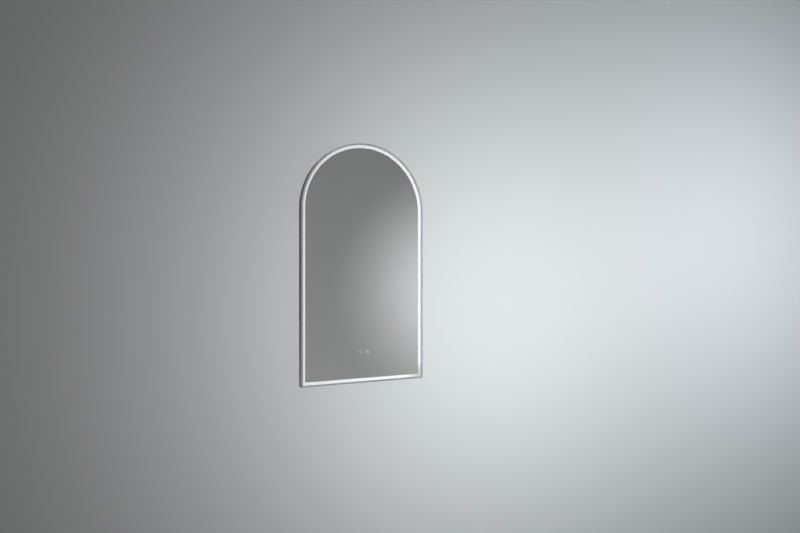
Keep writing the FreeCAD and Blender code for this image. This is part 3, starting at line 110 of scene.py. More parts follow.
class MirrorSizes(bpy.types.PropertyGroup):
    """Sizes of the pieces that are modelled here."""

    lip_face: length("Lip face", "Width of the frame's front edge", 6)
    frame_wall: length("Frame wall", "Thickness of the frame's outer wall", 1.6)
    rib_reach: length("Rib reach", "How far the rib behind the light strip stands in", 4)
    rib_thickness: length("Rib thickness", "Thickness of that rib", 1.4)
    rib_gap: length("Rib gap", "Play between the rib and the light strip", 0.2)
    flange_reach: length("Flange reach", "Width of the flange that takes the panel's screws", 12)
    flange_thickness: length("Flange thickness", "Thickness of that flange", 1.6)
    edge_round: length("Edge round", "Radius on the frame's outer edges, from the die and the polishing", 0.5)
    mitre_gap: length("Mitre gap", "Half of the hairline at each mitred corner", 0.03)
    arris: length("Arris", "Width of the ground edge of the glass", 0.6)
    mark_stroke: length("Mark stroke", "Width of a line in the two touch marks", 1.5)
    mark_radius: length("Mark radius", "Radius of the touch mark for the light", 5.2)
    demister_reach: length("Demister reach", "Half of the width of the touch mark for the demister", 8.6)
    mark_height: length("Mark height", "How far an etched mark stands off the glass", 0.05)
    mandrel_radius: length("Mandrel radius", "Radius of the broken stem in a rivet's head", 0.85)
    lens_margin: length("Lens margin", "Width of the white wall round a lamp's lens", 0.4)
    lens_depth: length("Lens depth", "How far a lamp's lens lies below its rim", 0.12)
    arch_steps: bpy.props.IntProperty(
        name="Arch steps", description="Straight steps round the arch", default=96, min=24, max=360
    )


class MirrorColours(bpy.types.PropertyGroup):
    """Colours of the finishes."""

    anodising: colour("Anodising", "Satin nickel-toned anodised aluminium", "#D3D2DA")
    mill_aluminium: colour("Mill aluminium", "Aluminium as it leaves the die", "#C4C6C8")
    silver: colour("Silver", "Silvering seen through clear glass", "#F1F2F2")
    glass_edge: colour("Glass edge", "Ground edge of the glass", "#8FB3A6")
    backing_paint: colour("Backing paint", "Paint over the silvering", "#6E7C86")
    opal: colour("Opal", "Opal acrylic of the light strip", "#F6F7F5")
    light: colour("Light", "Light that comes through the strip", "#FBFDFF")
    unlit: colour("Unlit corner", "The strip's lower right corner, past the last lamp", "#D6D8CC")
    etched: colour("Etched marks", "The two touch marks", "#C9CECC")
    galvanised: colour("Galvanised sheet", "Hot-dipped zinc on the back panel", "#D0D3D4")
    bright_zinc: colour("Bright zinc", "Electroplated rails and screws", "#C3C7CA")
    phosphor: colour("Phosphor", "Lens of a lamp", "#E8D36A")
    white_plastic: colour("White plastic", "Moulded white housings", "#E4E5E1")
    wiring_grey: colour("Wiring grey", "Hot-dipped zinc on the wiring box", "#B6BABC")
    black_plastic: colour("Black plastic", "Moulded chips, plugs and capacitors", "#1E1F21")
    board_green: colour("Board green", "Solder mask of the circuit boards", "#1F5A3A")
    terminal_green: colour("Terminal green", "Moulded terminals of the power supply", "#3E8F58")
    heater_film: colour("Heater film", "Polyester film of the demister", "#C39A55")
    heater_track: colour("Heater track", "Printed heating track under the film", "#A98247")
    copper: colour("Copper", "Foil of the touch pads", "#C98A5E")
    board_track: colour("Board track", "Tracks under the solder mask", "#3C7E57")
    transformer_tape: colour("Transformer tape", "Polyester tape round the windings", "#D8B743")
    screw_zinc: colour("Screw zinc", "Electroplated screws", "#CDCDC9")
    rivet_aluminium: colour("Rivet aluminium", "Blind rivets", "#CFD0D2")
    stem_steel: colour("Stem steel", "Broken stem in a rivet", "#8E8F90")
    ferrite: colour("Ferrite", "Core of the transformer", "#2F2F31")
    tape_white: colour("Tape white", "Foam tape and lamp tape", "#E9E9E6")
    rubber: colour("Rubber", "Grommet and wall bumpers", "#2B2C2D")
    brass: colour("Brass", "Terminal screws", "#C9A65A")
    lead_white: colour("White lead", "Sheath of the leads", "#DEDFDC")
    lead_green: colour("Green lead", "Earth lead, green", "#3C8C3A")
    lead_yellow: colour("Yellow stripe", "Earth lead, yellow", "#D9C83A")


class MirrorStage(bpy.types.PropertyGroup):
    """Camera, lamps, wall and floor."""

    lens: number("Lens", "Focal length for a 36 mm sensor", 32.07, unit="CAMERA")
    yaw: angle("Yaw", "Turn of the camera to the right of square on", 27.68)
    station: bpy.props.FloatVectorProperty(
        name="Station",
        description="Where the camera stands",
        default=(-1.1288, -2.4688, -0.123),
        subtype="XYZ",
        unit="LENGTH",
    )
    patch_turn: angle("Patch turn", "Way to the bright patch of the room", 33)
    patch_reach: angle("Patch reach", "Angle at which that patch has faded out", 11.3)
    view_turn: angle("View turn", "Way to the middle of what the glass shows", 24.6)
    view_reach: angle("View reach", "How far off that the bright sides begin", 11)
    side_tone: number("Side tone", "Brightness of the room's sides", 1.9, min=0)
    behind_tone: number("Behind tone", "Brightness that the frame's sides reflect", 0.05, min=0)
    floor_level: number("Floor level", "Height of the floor", -1.66, subtype="DISTANCE", unit="LENGTH")
    wall: colour("Wall", "Painted wall", "#EAEAEA")
    floor: colour("Floor", "Plain floor", "#E6E7E7")
    wall_lamp: number("Wall lamp", "Soft lamp at the right", 19.6, unit="POWER")
    rear_lamp: number("Rear lamp", "Soft lamp for the back", 13, unit="POWER")


# ---- Modelling by hand, in steps ----


def begin_outline(name, first):
    """A new mesh in edit mode that holds one vertex, where an outline starts."""
    bpy.ops.object.select_all(action="DESELECT")
    bpy.ops.mesh.primitive_plane_add(size=MM, location=first)
    made = bpy.context.object
    made.name = name
    bpy.ops.object.mode_set(mode="EDIT")
    bpy.ops.mesh.select_mode(type="VERT")
    bpy.ops.mesh.select_all(action="SELECT")
    bpy.ops.mesh.merge(type="CENTER")
    return made


def extrude(step):
    bpy.ops.mesh.extrude_region_move(TRANSFORM_OT_translate={"value": step})


def draw_line(name, points):
    """An open line through the points, all selected in edit mode."""
    points = [Vector(point) for point in points]
    made = begin_outline(name, points[0])
    for here, there in zip(points, points[1:]):
        extrude(there - here)
    bpy.ops.mesh.select_all(action="SELECT")
    return made


def draw_section(name, points):
    """A closed flat face through the points, left selected in edit mode."""
    made = draw_line(name, points)
    bpy.ops.mesh.edge_face_add()
    return made


def pick(made, kind, wanted):
    """Selects the vertices, edges or faces whose middle, and normal if a face, the test wants."""
    bpy.ops.mesh.select_all(action="DESELECT")
    bpy.ops.mesh.select_mode(type=kind)
    mesh = bmesh.from_edit_mesh(made.data)
    origin = made.location
    if kind == "VERT":
        chosen = [vertex for vertex in mesh.verts if wanted(vertex.co + origin)]
    elif kind == "EDGE":
        chosen = [edge for edge in mesh.edges if wanted(*(vertex.co + origin for vertex in edge.verts))]
    else:
        middles = ((face, face.calc_center_median() + origin) for face in mesh.faces)
        chosen = [face for face, middle in middles if wanted(middle, face.normal)]
    for part in chosen:
        part.select = True
    mesh.select_flush_mode()
    bmesh.update_edit_mesh(made.data)


def near(value, target):
    return abs(value - target) < TOUCHING


def settle(made, materials, chooser=None):
    """Leaves edit mode, puts the place into the mesh, turns faces outwards and gives them their materials.

    The chooser picks each face's material from its middle and normal. Without one, all get the first.
    """
    bpy.ops.mesh.select_all(action="SELECT")
    bpy.ops.mesh.remove_doubles(threshold=0.001 * MM)
    bpy.ops.mesh.normals_make_consistent(inside=False)
    bpy.ops.object.mode_set(mode="OBJECT")
    bpy.ops.object.select_all(action="DESELECT")
    made.select_set(True)
    bpy.context.view_layer.objects.active = made
    bpy.ops.object.transform_apply(location=True, rotation=True, scale=True)
    for material in materials:
        made.data.materials.append(material)
    if chooser:
        for polygon in made.data.polygons:
            polygon.material_index = chooser(polygon.center, polygon.normal)


def finish(made, materials, replaces=(), smooth=35, chooser=None):
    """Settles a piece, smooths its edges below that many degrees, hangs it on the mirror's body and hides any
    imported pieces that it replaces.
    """
    settle(made, materials, chooser)
    bpy.ops.object.shade_smooth_by_angle(angle=math.radians(smooth))
    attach(made, BODY)
    if replaces:
        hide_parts(*replaces)


def spun(name, profile, steps=32):
    """A body of revolution about the Y axis, from (radius, depth) points that run from axis to axis."""
    made = draw_line(name, [(radius, depth, 0) for radius, depth in profile])
    bpy.ops.mesh.spin(steps=steps, angle=2 * math.pi, center=(0, 0, 0), axis=(0, 1, 0))
    return made


def block(name, low, high, rounding, segments=2):
    """A block between two corners with every edge rounded, left in edit mode."""
    bpy.ops.object.select_all(action="DESELECT")
    low, high = Vector(low), Vector(high)
    bpy.ops.mesh.primitive_cube_add(size=1, location=(low + high) / 2, scale=high - low)
    made = bpy.context.object
    made.name = name
    bpy.ops.object.transform_apply(location=False, rotation=False, scale=True)
    bpy.ops.object.mode_set(mode="EDIT")
    bpy.ops.mesh.select_all(action="SELECT")
    bpy.ops.mesh.bevel(offset=rounding, segments=segments, affect="EDGES")
    return made


def solids_in(name):
    """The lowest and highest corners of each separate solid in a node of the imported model."""
    mesh = bmesh.new()
    mesh.from_mesh(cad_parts[name].data)
    bmesh.ops.remove_doubles(mesh, verts=mesh.verts, dist=0.001 * MM)
    waiting, found = set(mesh.verts), []
    while waiting:
        reached = [waiting.pop()]
        for vertex in reached:
            for edge in vertex.link_edges:
                other = edge.other_vert(vertex)
                if other in waiting:
                    waiting.remove(other)
                    reached.append(other)
        along = [[vertex.co[axis] for vertex in reached] for axis in range(3)]
        found.append((Vector(map(min, along)), Vector(map(max, along))))
    mesh.free()
    return found


def set_out(pattern, name, places):
    """Copies the pattern to each place, turned about Y by its angle, and joins the copies as one piece."""
    made = []
    for place, turn in places:
        one = pattern.copy()
        one.data = pattern.data.copy()
        bpy.context.collection.objects.link(one)
        one.matrix_world = Matrix.Translation(place) @ Matrix.Rotation(turn, 4, "Y")
        made.append(one)
    bpy.data.objects.remove(pattern)
    bpy.ops.object.select_all(action="DESELECT")
    for one in made:
        one.select_set(True)
    bpy.context.view_layer.objects.active = made[0]
    bpy.ops.object.join()
    joined = bpy.context.object
    joined.name = name + "_finished"
    bpy.ops.object.mode_set(mode="EDIT")
    finish(joined, [], replaces=[name])


def outer_ends(solids, above=0):
    """For each solid, the middle of its end that is away from the glass, less that height, and no turn."""
    return [(((low.x + high.x) / 2, high.y - above, (low.z + high.z) / 2), 0) for low, high in solids]


def dress(material, *names):
    """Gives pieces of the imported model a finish."""
    for name in names:
        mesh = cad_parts[name].data
        mesh.materials.clear()
        mesh.materials.append(material)


def sweep_over_arch(steps):
    """Carries the selected face from the foot of the right side up, over the arch and down the left side."""
    extrude((0, 0, SPRING - FOOT))
    bpy.ops.mesh.spin(steps=steps, angle=math.pi, center=(0, 0, SPRING), axis=(0, 1, 0))
    extrude((0, 0, FOOT - SPRING))


# ---- Materials ----


class Nodes:
    """A node tree under way."""

    def __init__(self, tree):
        self.tree = tree

    def put(self, node, name, value):
        """Sets one of a node's inputs, with a colour given without its alpha, or links it to an output."""
        socket = node.inputs[name]
        if isinstance(value, bpy.types.NodeSocket):
            self.tree.links.new(value, socket)
        else:
            socket.default_value = (*value, 1) if socket.type == "RGBA" else value

    def add(self, kind, inputs=(), **settings):
        """Adds a node with its settings, its values and its links, and gives back its outputs."""
        node = self.tree.nodes.new("ShaderNode" + kind)
        for name, value in settings.items():
            setattr(node, name, value)
        for name, value in dict(inputs).items():
            self.put(node, name, value)
        return node.outputs

    def nearing(self, value, middle, start, stop):
        """Goes smoothly from 0 to 1 as the value's distance from its middle goes from start to stop."""
        past = self.add("Math", {0: value, 1: middle}, operation="SUBTRACT")[0]
        off = self.add("Math", {0: past}, operation="ABSOLUTE")[0]
        ends = {"Value": off, "From Min": start, "From Max": stop}
        return self.add("MapRange", ends, interpolation_type="SMOOTHSTEP")[0]


class Surface(Nodes):
    """A material under way, with its Principled shader and the piece's own coordinates."""

    def __init__(self, name, base, roughness, metallic=0.0, ior=None):
        self.material = bpy.data.materials.new(name)
        self.material.use_nodes = True
        super().__init__(self.material.node_tree)
        self.shader = self.tree.nodes["Principled BSDF"]
        self.base = base
        self.where = self.add("TexCoord")["Object"]
        self.give("Base Color", base)
        self.give("Roughness", roughness)
        self.give("Metallic", metallic)
        if ior:
            self.give("IOR", ior)

    def give(self, name, value):
        """Sets or links one of the shader's inputs."""
        self.put(self.shader, name, value)

    def pattern(self, kind, size, where=None, **inputs):
        """A texture of any kind, whose grains or cells are about that many metres apart."""
        place = self.where if where is None else where
        return self.add("Tex" + kind, {"Vector": place, "Scale": 1 / size, **inputs})

    def bands(self, axis, pitch, width):
        """1 in bands that lie across an axis at that pitch, each of that width, and 0 between them."""
        place = self.add("SeparateXYZ", {"Vector": self.where})[axis]
        off_band = self.add("Math", {0: place, 1: pitch / 2}, operation="PINGPONG")[0]
        return self.add("Math", {0: off_band, 1: width / 2}, operation="LESS_THAN")[0]

    def across_the_run(self):
        """Coordinates that only change across the run: distance from the arch's centre line, and depth."""
        across, depth, level = self.add("SeparateXYZ", {"Vector": self.where})
        above = self.add("Math", {0: level, 1: SPRING}, operation="SUBTRACT")[0]
        rise = self.add("Math", {0: above, 1: 0.0}, operation="MAXIMUM")[0]
        flat = self.add("CombineXYZ", {"X": across, "Y": rise})[0]
        reach = self.add("VectorMath", {0: flat}, operation="LENGTH")["Value"]
        return self.add("CombineXYZ", {"X": reach, "Y": depth})[0]

    def tone(self, pattern, dark, bright):
        """The base colour, from that much darker to that much brighter as the pattern goes from 0 to 1."""
        low, high = ([min(part * share, 1) for part in self.base] for share in (dark, bright))
        return self.add("Mix", {"Factor": pattern, 6: low, 7: high}, data_type="RGBA")[2]

    def show(self, pattern, shade=None, gloss=None, relief=None):
        """Lets a pattern show: in the base colour's tone, in the roughness, and as relief of that depth."""
        if shade:
            self.give("Base Color", self.tone(pattern, *shade))
        if gloss:
            ends = {"Value": pattern, "To Min": gloss[0], "To Max": gloss[1]}
            self.give("Roughness", self.add("MapRange", ends)[0])
        if relief:
            self.give("Normal", self.add("Bump", {"Height": pattern, "Distance": relief, "Strength": 1.0})[0])

    def glow(self, strength, light=None):
        """Light of its own, in the base colour or in another."""
        self.give("Emission Color", self.base if light is None else light)
        self.give("Emission Strength", strength)


def satin_anodised(name, base, along_bar):
    """Satin nickel-toned anodised aluminium: extruded, brushed along its length and dyed. The eye sees a soft
    metal sheen drawn out along the run, with fine lines, and a faint unevenness of the dye."""
    made = Surface(name, base, 0.34, metallic=1.0)
    if along_bar:
        lines = made.add("Mapping", {"Vector": made.where, "Scale": (0.004, 1, 1)})[0]
    else:
        lines = made.across_the_run()
    # brush lines are about 0.1 mm apart; they are drawn 0.7 mm apart so that they show
    made.show(made.pattern("Noise", 0.7 * MM, lines, Detail=4)[0], shade=(0.86, 1.12), relief=0.01 * MM)
    made.show(made.pattern("Noise", 60 * MM, Detail=2)[0], gloss=(0.28, 0.42))
    return made.material


def mill_aluminium(name, base):
    """Aluminium as it leaves the die: bright and slightly greasy, with die lines along its run."""
    made = Surface(name, base, 0.3, metallic=1.0)
    lines = made.pattern("Noise", 1.2 * MM, made.across_the_run(), Detail=3)[0]
    made.show(lines, shade=(0.85, 1.1), relief=0.015 * MM)
    made.show(made.pattern("Noise", 25 * MM, Detail=3)[0], gloss=(0.22, 0.4))
    return made.material


def silvered_glass(name, base):
    """Float glass silvered on its back: a clear, slightly dark mirror with a trace of dust in its gloss."""
    made = Surface(name, base, 0.02, metallic=1.0)
    made.show(made.pattern("Noise", 90 * MM, Detail=5)[0], shade=(0.97, 1.02), gloss=(0.01, 0.05))
    return made.material


def ground_glass(name, base):
    """The ground edge of the glass: satin, and green from the iron in it."""
    made = Surface(name, base, 0.35, ior=1.52)
    made.show(made.pattern("Noise", 0.8 * MM, Detail=3)[0], shade=(0.9, 1.1), relief=0.02 * MM)
    return made.material


def backing_paint(name, base):
    """Roller-coated paint over the silvering: flat, with a fine orange peel."""
    made = Surface(name, base, 0.55, ior=1.5)
    made.show(made.pattern("Noise", 120 * MM, Detail=3)[0], shade=(0.94, 1.06))
    made.show(made.pattern("Noise", 2.5 * MM, Detail=2)[0], relief=0.03 * MM)
    return made.material


def opal_acrylic(name, base, light, unlit):
    """Extruded opal acrylic, lit from behind: an even white glow, yellower and dimmer past the last lamp."""
    made = Surface(name, base, 0.3, ior=1.49)
    # the lamps end 34 mm short of the lower right corner
    corner = {0: made.where, 1: (HALF_WIDTH, FRONT, FOOT)}
    from_corner = made.add("VectorMath", corner, operation="DISTANCE")["Value"]
    lit = made.nearing(from_corner, 0.0, 25 * MM, 75 * MM)
    clouds = made.tone(made.pattern("Noise", 16.7 * MM, Detail=1)[0], 0.98, 1.0)
    made.give("Base Color", made.add("Mix", {"Factor": lit, 6: unlit, 7: clouds}, data_type="RGBA")[2])
    dim = [part * 0.4 for part in unlit]
    made.glow(0.22, made.add("Mix", {"Factor": lit, 6: dim, 7: light}, data_type="RGBA")[2])
    return made.material


def etched_mark(name, base):
    """Silvering etched away in fine dots, so that a lamp behind shows: frosted, and faintly lit."""
    made = Surface(name, base, 0.6, ior=1.52)
    made.show(made.pattern("Noise", 0.6 * MM, Detail=3)[0], shade=(0.9, 1.08))
    made.glow(0.14)
    return made.material


def galvanised_sheet(name, base):
    """Hot-dip galvanised sheet: flat crystals of zinc about 9 mm across, each with its own sheen."""
    made = Surface(name, base, 0.42, metallic=0.85)
    # the crystals' borders wander by 3 mm
    wander = made.pattern("Noise", 7 * MM)["Color"]
    bent = made.add("VectorMath", {0: wander, "Scale": 3 * MM}, operation="SCALE")[0]
    moved = made.add("VectorMath", {0: made.where, 1: bent}, operation="ADD")[0]
    crystal = made.add("SeparateColor", {"Color": made.pattern("Voronoi", 9 * MM, moved)["Color"]})
    made.show(crystal["Red"], shade=(0.78, 1.1))
    made.show(crystal["Green"], gloss=(0.36, 0.56))
    return made.material


def bright_zinc(name, base):
    """Electroplated zinc, clear passivated: smooth, bluish and a little cloudy from the bath."""
    made = Surface(name, base, 0.3, metallic=1.0)
    made.show(made.pattern("Noise", 18 * MM, Detail=4)[0], shade=(0.86, 1.06), gloss=(0.24, 0.4))
    made.show(made.pattern("Noise", 0.9 * MM, Detail=3)[0], relief=0.01 * MM)
    return made.material


def foam_tape(name, base):
    """Closed-cell acrylic foam tape: soft and matt, pitted with cells about half a millimetre across."""
    made = Surface(name, base, 0.85, ior=1.47)
    made.show(made.pattern("Voronoi", 0.6 * MM)["Distance"], shade=(0.85, 1.05), relief=0.08 * MM)
    return made.material


def lamp_circuit(name, base, tinned):
    """Flexible circuit with white solder mask: satin, with a pair of tinned pads at each cut mark."""
    made = Surface(name, base, 0.42, ior=1.5)
    # a cut mark every 100 mm has two pads 2 mm square, and the tape's middle is about 10.3 mm off the wall
    at_cut = made.bands("Z", 100 * MM, 2 * MM)
    depth = made.add("SeparateXYZ", {"Vector": made.where})["Y"]
    off_middle = made.add("Math", {0: depth, 1: -10.3 * MM}, operation="SUBTRACT")[0]
    aside = made.add("Math", {0: off_middle}, operation="ABSOLUTE")[0]
    in_pair = made.add("Math", {0: aside, 1: 2.2 * MM, 2: 1.0 * MM}, operation="COMPARE")[0]
    pad = made.add("Math", {0: at_cut, 1: in_pair}, operation="MULTIPLY")[0]
    mask = made.tone(made.pattern("Noise", 8 * MM, Detail=3)[0], 0.95, 1.03)
    made.give("Base Color", made.add("Mix", {"Factor": pad, 6: mask, 7: tinned}, data_type="RGBA")[2])
    made.give("Metallic", pad)
    return made.material


def circuit_board(name, base, track):
    """Glass-epoxy board under a solder mask: glossy, with tracks that show as a paler relief."""
    made = Surface(name, base, 0.28, ior=1.55)
    layout = {"Scale": 1.0, "Brick Width": 6 * MM, "Row Height": 1.4 * MM, "Mortar Size": 0.35 * MM}
    tracks = made.add("TexBrick", {"Vector": made.where, **layout})["Fac"]
    mask = made.tone(made.pattern("Noise", 0.5 * MM, Detail=3)[0], 0.88, 1.08)
    made.give("Base Color", made.add("Mix", {"Factor": tracks, 6: mask, 7: track}, data_type="RGBA")[2])
    made.show(tracks, relief=0.04 * MM)
    return made.material


def heater_film(name, base, track):
    """Demister film: amber polyester over a printed heating track that snakes across it every 8 mm."""
    made = Surface(name, base, 0.25, ior=1.6)
    printed = made.bands("Z", 8 * MM, 5.2 * MM)
    film = made.tone(made.pattern("Noise", 40 * MM, Detail=3)[0], 0.93, 1.05)
    made.give("Base Color", made.add("Mix", {"Factor": printed, 6: film, 7: track}, data_type="RGBA")[2])
    made.show(printed, relief=0.03 * MM)
    return made.material


def copper_foil(name, base):
    """Rolled copper foil on a foam pad: warm, wrinkled metal, dulled by handling."""
    made = Surface(name, base, 0.35, metallic=1.0)
    made.show(made.pattern("Noise", 2.5 * MM, Detail=4)[0], shade=(0.75, 1.08), relief=0.06 * MM)
    return made.material


def phosphor_lens(name, base):
    """Silicone lens filled with phosphor: egg-yolk yellow, grainy, and glowing while the mirror is on."""
    made = Surface(name, base, 0.35, ior=1.41)
    made.show(made.pattern("Noise", 0.3 * MM, Detail=3)[0], shade=(0.9, 1.06))
    made.glow(1.0)
    return made.material


def soft_rubber(name, base):
    """Moulded rubber: near black, dull, with a fine bloom of wax and dust."""
    made = Surface(name, base, 0.75, ior=1.52)
    made.show(made.pattern("Noise", 3 * MM, Detail=4)[0], shade=(0.8, 1.6))
    made.show(made.pattern("Noise", 0.5 * MM, Detail=3)[0], relief=0.03 * MM)
    return made.material


def turned_brass(name, base):
    """Turned brass: yellow metal with a light, uneven tarnish."""
    made = Surface(name, base, 0.28, metallic=1.0)
    made.show(made.pattern("Noise", 1.5 * MM, Detail=4)[0], shade=(0.72, 1.05), gloss=(0.22, 0.42))
    return made.material


def lead_sheath(name, base, second=None):
    """Extruded PVC sheath: satin, with a slight drag. The earth lead has bands in a second colour."""
    made = Surface(name, base, 0.45, ior=1.53)
    drag = made.pattern("Noise", 1.5 * MM, Detail=2)[0]
    sheath = made.tone(drag, 0.93, 1.04)
    if second is not None:
        bands = made.bands("X", 1.6 * MM, 0.8 * MM)
        sheath = made.add("Mix", {"Factor": bands, 6: second, 7: sheath}, data_type="RGBA")[2]
    made.give("Base Color", sheath)
    made.show(drag, relief=0.02 * MM)
    return made.material


def moulded(name, base, roughness, grain, ior=1.5):
    """Moulded plastic with a spark-eroded grain: dull, and even but for a slight flow shade."""
    made = Surface(name, base, roughness, ior=ior)
    made.show(made.pattern("Noise", 30 * MM, Detail=3)[0], shade=(0.93, 1.04))
    pebble = made.pattern("Noise", grain, Detail=2)[0]
    made.show(pebble, gloss=(roughness - 0.06, roughness + 0.08), relief=0.04 * MM)
    return made.material


def plain_wall(name, base):
    """Matt emulsion, rolled on. From behind it isn't there, so that the back of the mirror shows."""
    made = Surface(name, base, 0.9)
    made.give("Specular IOR Level", 0.0)
    made.show(made.pattern("Noise", 3 * MM, Detail=2)[0], relief=0.02 * MM)
    behind = made.add("NewGeometry")["Backfacing"]
    clear = made.add("BsdfTransparent")[0]
    both = made.add("MixShader", {0: behind, 1: made.shader.outputs[0], 2: clear})[0]
    made.put(made.tree.nodes["Material Output"], "Surface", both)
    return made.material


def pale_floor(name, base):
    """Matt painted floor. To the camera it is paler than the lamps alone would leave it."""
    made = Surface(name, base, 0.8)
    made.give("Specular IOR Level", 0.0)
    made.show(made.pattern("Noise", 200 * MM, Detail=3)[0], shade=(0.97, 1.0))
    seen = made.add("LightPath")["Is Camera Ray"]
    made.glow(made.add("Math", {0: seen, 1: 0.55}, operation="MULTIPLY")[0])
    return made.material


# ---- Operators: one for each piece or group of like pieces ----


class MIRROR_OT_frame(bpy.types.Operator):
    """Models the aluminium frame: the bent arch with its two legs, and the mitred bottom rail"""

    bl_idname = "mirror.frame"
    bl_label = "Frame"

    def execute(self, context):
        sizes, colours = context.scene.mirror_sizes, context.scene.mirror_colours
        wall_inner = HALF_WIDTH - sizes.frame_wall
        rib_front = GLASS_REAR + sizes.rib_gap
        flange_front = PANEL_FRONT - sizes.flange_thickness
        section = [
            (HALF_WIDTH, REAR),
            (HALF_WIDTH, FRONT),
            (HALF_WIDTH - sizes.lip_face, FRONT),
            (HALF_WIDTH - sizes.lip_face, GLASS_FRONT),
            (wall_inner, GLASS_FRONT),
            (wall_inner, rib_front),
            (wall_inner - sizes.rib_reach, rib_front),
            (wall_inner - sizes.rib_reach, rib_front + sizes.rib_thickness),
            (wall_inner, rib_front + sizes.rib_thickness),
            (wall_inner, flange_front),
            (HALF_WIDTH - sizes.flange_reach, flange_front),
            (HALF_WIDTH - sizes.flange_reach, PANEL_FRONT),
            (wall_inner, PANEL_FRONT),
            (wall_inner, REAR),
        ]

        def draw_rounded(name, points):
            """The section's face, with the corners of its outer wall and its lip rounded: its first four."""
            made = draw_section(name, points)
            corners = [Vector(point) for point in points[:4]]
            pick(made, "VERT", lambda here: any((here - corner).length < TOUCHING for corner in corners))
            bpy.ops.mesh.bevel(offset=sizes.edge_round, segments=3, affect="VERTICES")
            bpy.ops.mesh.select_mode(type="FACE")
            bpy.ops.mesh.select_all(action="SELECT")
            return made

        def mitre(side, level, **cleared):
            """Cuts the selected faces on the slope through a lower corner, and closes the cut."""
            corner = (HALF_WIDTH * side, 0, level)
            bpy.ops.mesh.bisect(plane_co=corner, plane_no=(side, 0, 1), use_fill=True, **cleared)

        arch = draw_rounded("frame_arch_finished", [(half, depth, FOOT) for half, depth in section])
        sweep_over_arch(sizes.arch_steps)
        for side in (1, -1):
            pick(arch, "FACE", lambda middle, normal: middle.x * side > 0)
            mitre(side, FOOT + sizes.mitre_gap, clear_inner=True)
        arch_metal = satin_anodised("satin_anodised_aluminium_arch", colours.anodising, along_bar=False)
        finish(arch, [arch_metal], replaces=["frame_arch"], smooth=FLAT_FACES)

        at_left = [(-HALF_WIDTH, depth, FOOT + HALF_WIDTH - half) for half, depth in section]
        bar = draw_rounded("frame_bottom_finished", at_left)
        extrude((2 * HALF_WIDTH, 0, 0))
        for side in (1, -1):
            bpy.ops.mesh.select_all(action="SELECT")
            mitre(side, FOOT - sizes.mitre_gap, clear_outer=True)
        bar_metal = satin_anodised("satin_anodised_aluminium_bar", colours.anodising, along_bar=True)
        finish(bar, [bar_metal], replaces=["frame_bottom_rail"], smooth=FLAT_FACES)
        return {"FINISHED"}


class MIRROR_OT_pane(bpy.types.Operator):
    """Models the arch-topped silvered glass with its ground edge and painted back"""

    bl_idname = "mirror.pane"
    bl_label = "Glass"

    def execute(self, context):
        sizes, colours = context.scene.mirror_sizes, context.scene.mirror_colours
        pane = begin_outline("mirror_pane", (GLASS_HALF, GLASS_REAR, GLASS_FOOT))
        extrude((0, 0, SPRING - GLASS_FOOT))
        bpy.ops.mesh.spin(steps=sizes.arch_steps, angle=math.pi, center=(0, 0, SPRING), axis=(0, 1, 0))
        extrude((0, 0, GLASS_FOOT - SPRING))
        bpy.ops.mesh.select_all(action="SELECT")
        bpy.ops.mesh.edge_face_add()
        extrude((0, GLASS_FRONT - GLASS_REAR, 0))
        rims = (GLASS_FRONT, GLASS_REAR)
        pick(pane, "EDGE", lambda *ends: any(all(near(end.y, rim) for end in ends) for rim in rims))
        bpy.ops.mesh.bevel(offset=sizes.arris, segments=1, affect="EDGES")
        face = silvered_glass("silvered_float_glass", colours.silver)
        edge = ground_glass("ground_glass_edge", colours.glass_edge)
        back = backing_paint("mirror_backing_paint", colours.backing_paint)

        def side(middle, normal):
            return 0 if normal.y < -0.99 else 2 if normal.y > 0.99 else 1

        finish(pane, [face, edge, back], replaces=["mirror_glass"], smooth=20, chooser=side)
        return {"FINISHED"}


class MIRROR_OT_touch_marks(bpy.types.Operator):
    """Models the two marks etched in the silvering in front of the touch sensors: light and demister"""

    bl_idname = "mirror.touch_marks"
    bl_label = "Touch marks"

    def execute(self, context):
        sizes, colours = context.scene.mirror_sizes, context.scene.mirror_colours
        etched = etched_mark("etched_silvering", colours.etched)
        pads_low, pads_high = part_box("touch_pads")
        middle = (pads_low.z + pads_high.z) / 2
        left = pads_low.x + (pads_high.z - pads_low.z) / 2
        right = -left
        stroke = sizes.mark_stroke

        def ring(radius, start, stop, centre, steps=40):
            turns = [math.radians(start + (stop - start) * step / steps) for step in range(steps + 1)]
            x, z = centre
            return [(x + radius * math.sin(turn), z + radius * math.cos(turn)) for turn in turns]

        def arc(radius, width, start, stop, centre):
            """A bow of that width outside of the radius, from start to stop in degrees from upright."""
            return ring(radius + width, start, stop, centre) + ring(radius, stop, start, centre)

        # light: an open ring with a short upright stroke in its gap
        radius, side = sizes.mark_radius, stroke / 2
        low, high = middle + radius * 0.25, middle + radius + stroke
        strokes = {"light_mark_ring": arc(radius - side, stroke, 32, 328, (left, middle))}
        corners = ((-side, low), (-side, high), (side, high), (side, low))
        strokes["light_mark_stroke"] = [(left + x, z) for x, z in corners]
        # demister: three rising waves of one full swing each, over a shallow dish, in shares of its reach
        reach = sizes.demister_reach
        for step, which in enumerate(("left", "middle", "right"), start=-1):
            wave = []
            for rise in range(19):
                swing = step * 0.5 + 0.1 * math.sin(math.pi * rise / 9)
                wave.append((right + swing * reach, middle + (rise / 16 - 0.35) * reach))
            edges = [(x - side, z) for x, z in wave] + [(x + side, z) for x, z in reversed(wave)]
            strokes["demister_wave_" + which] = edges
        strokes["demister_dish"] = arc(reach - stroke, stroke, 118, 242, (right, middle + reach * 0.15))

        for name, points in strokes.items():
            made = draw_section(name, [(x, GLASS_FRONT, z) for x, z in points])
            extrude((0, -sizes.mark_height, 0))
            finish(made, [etched])
        return {"FINISHED"}


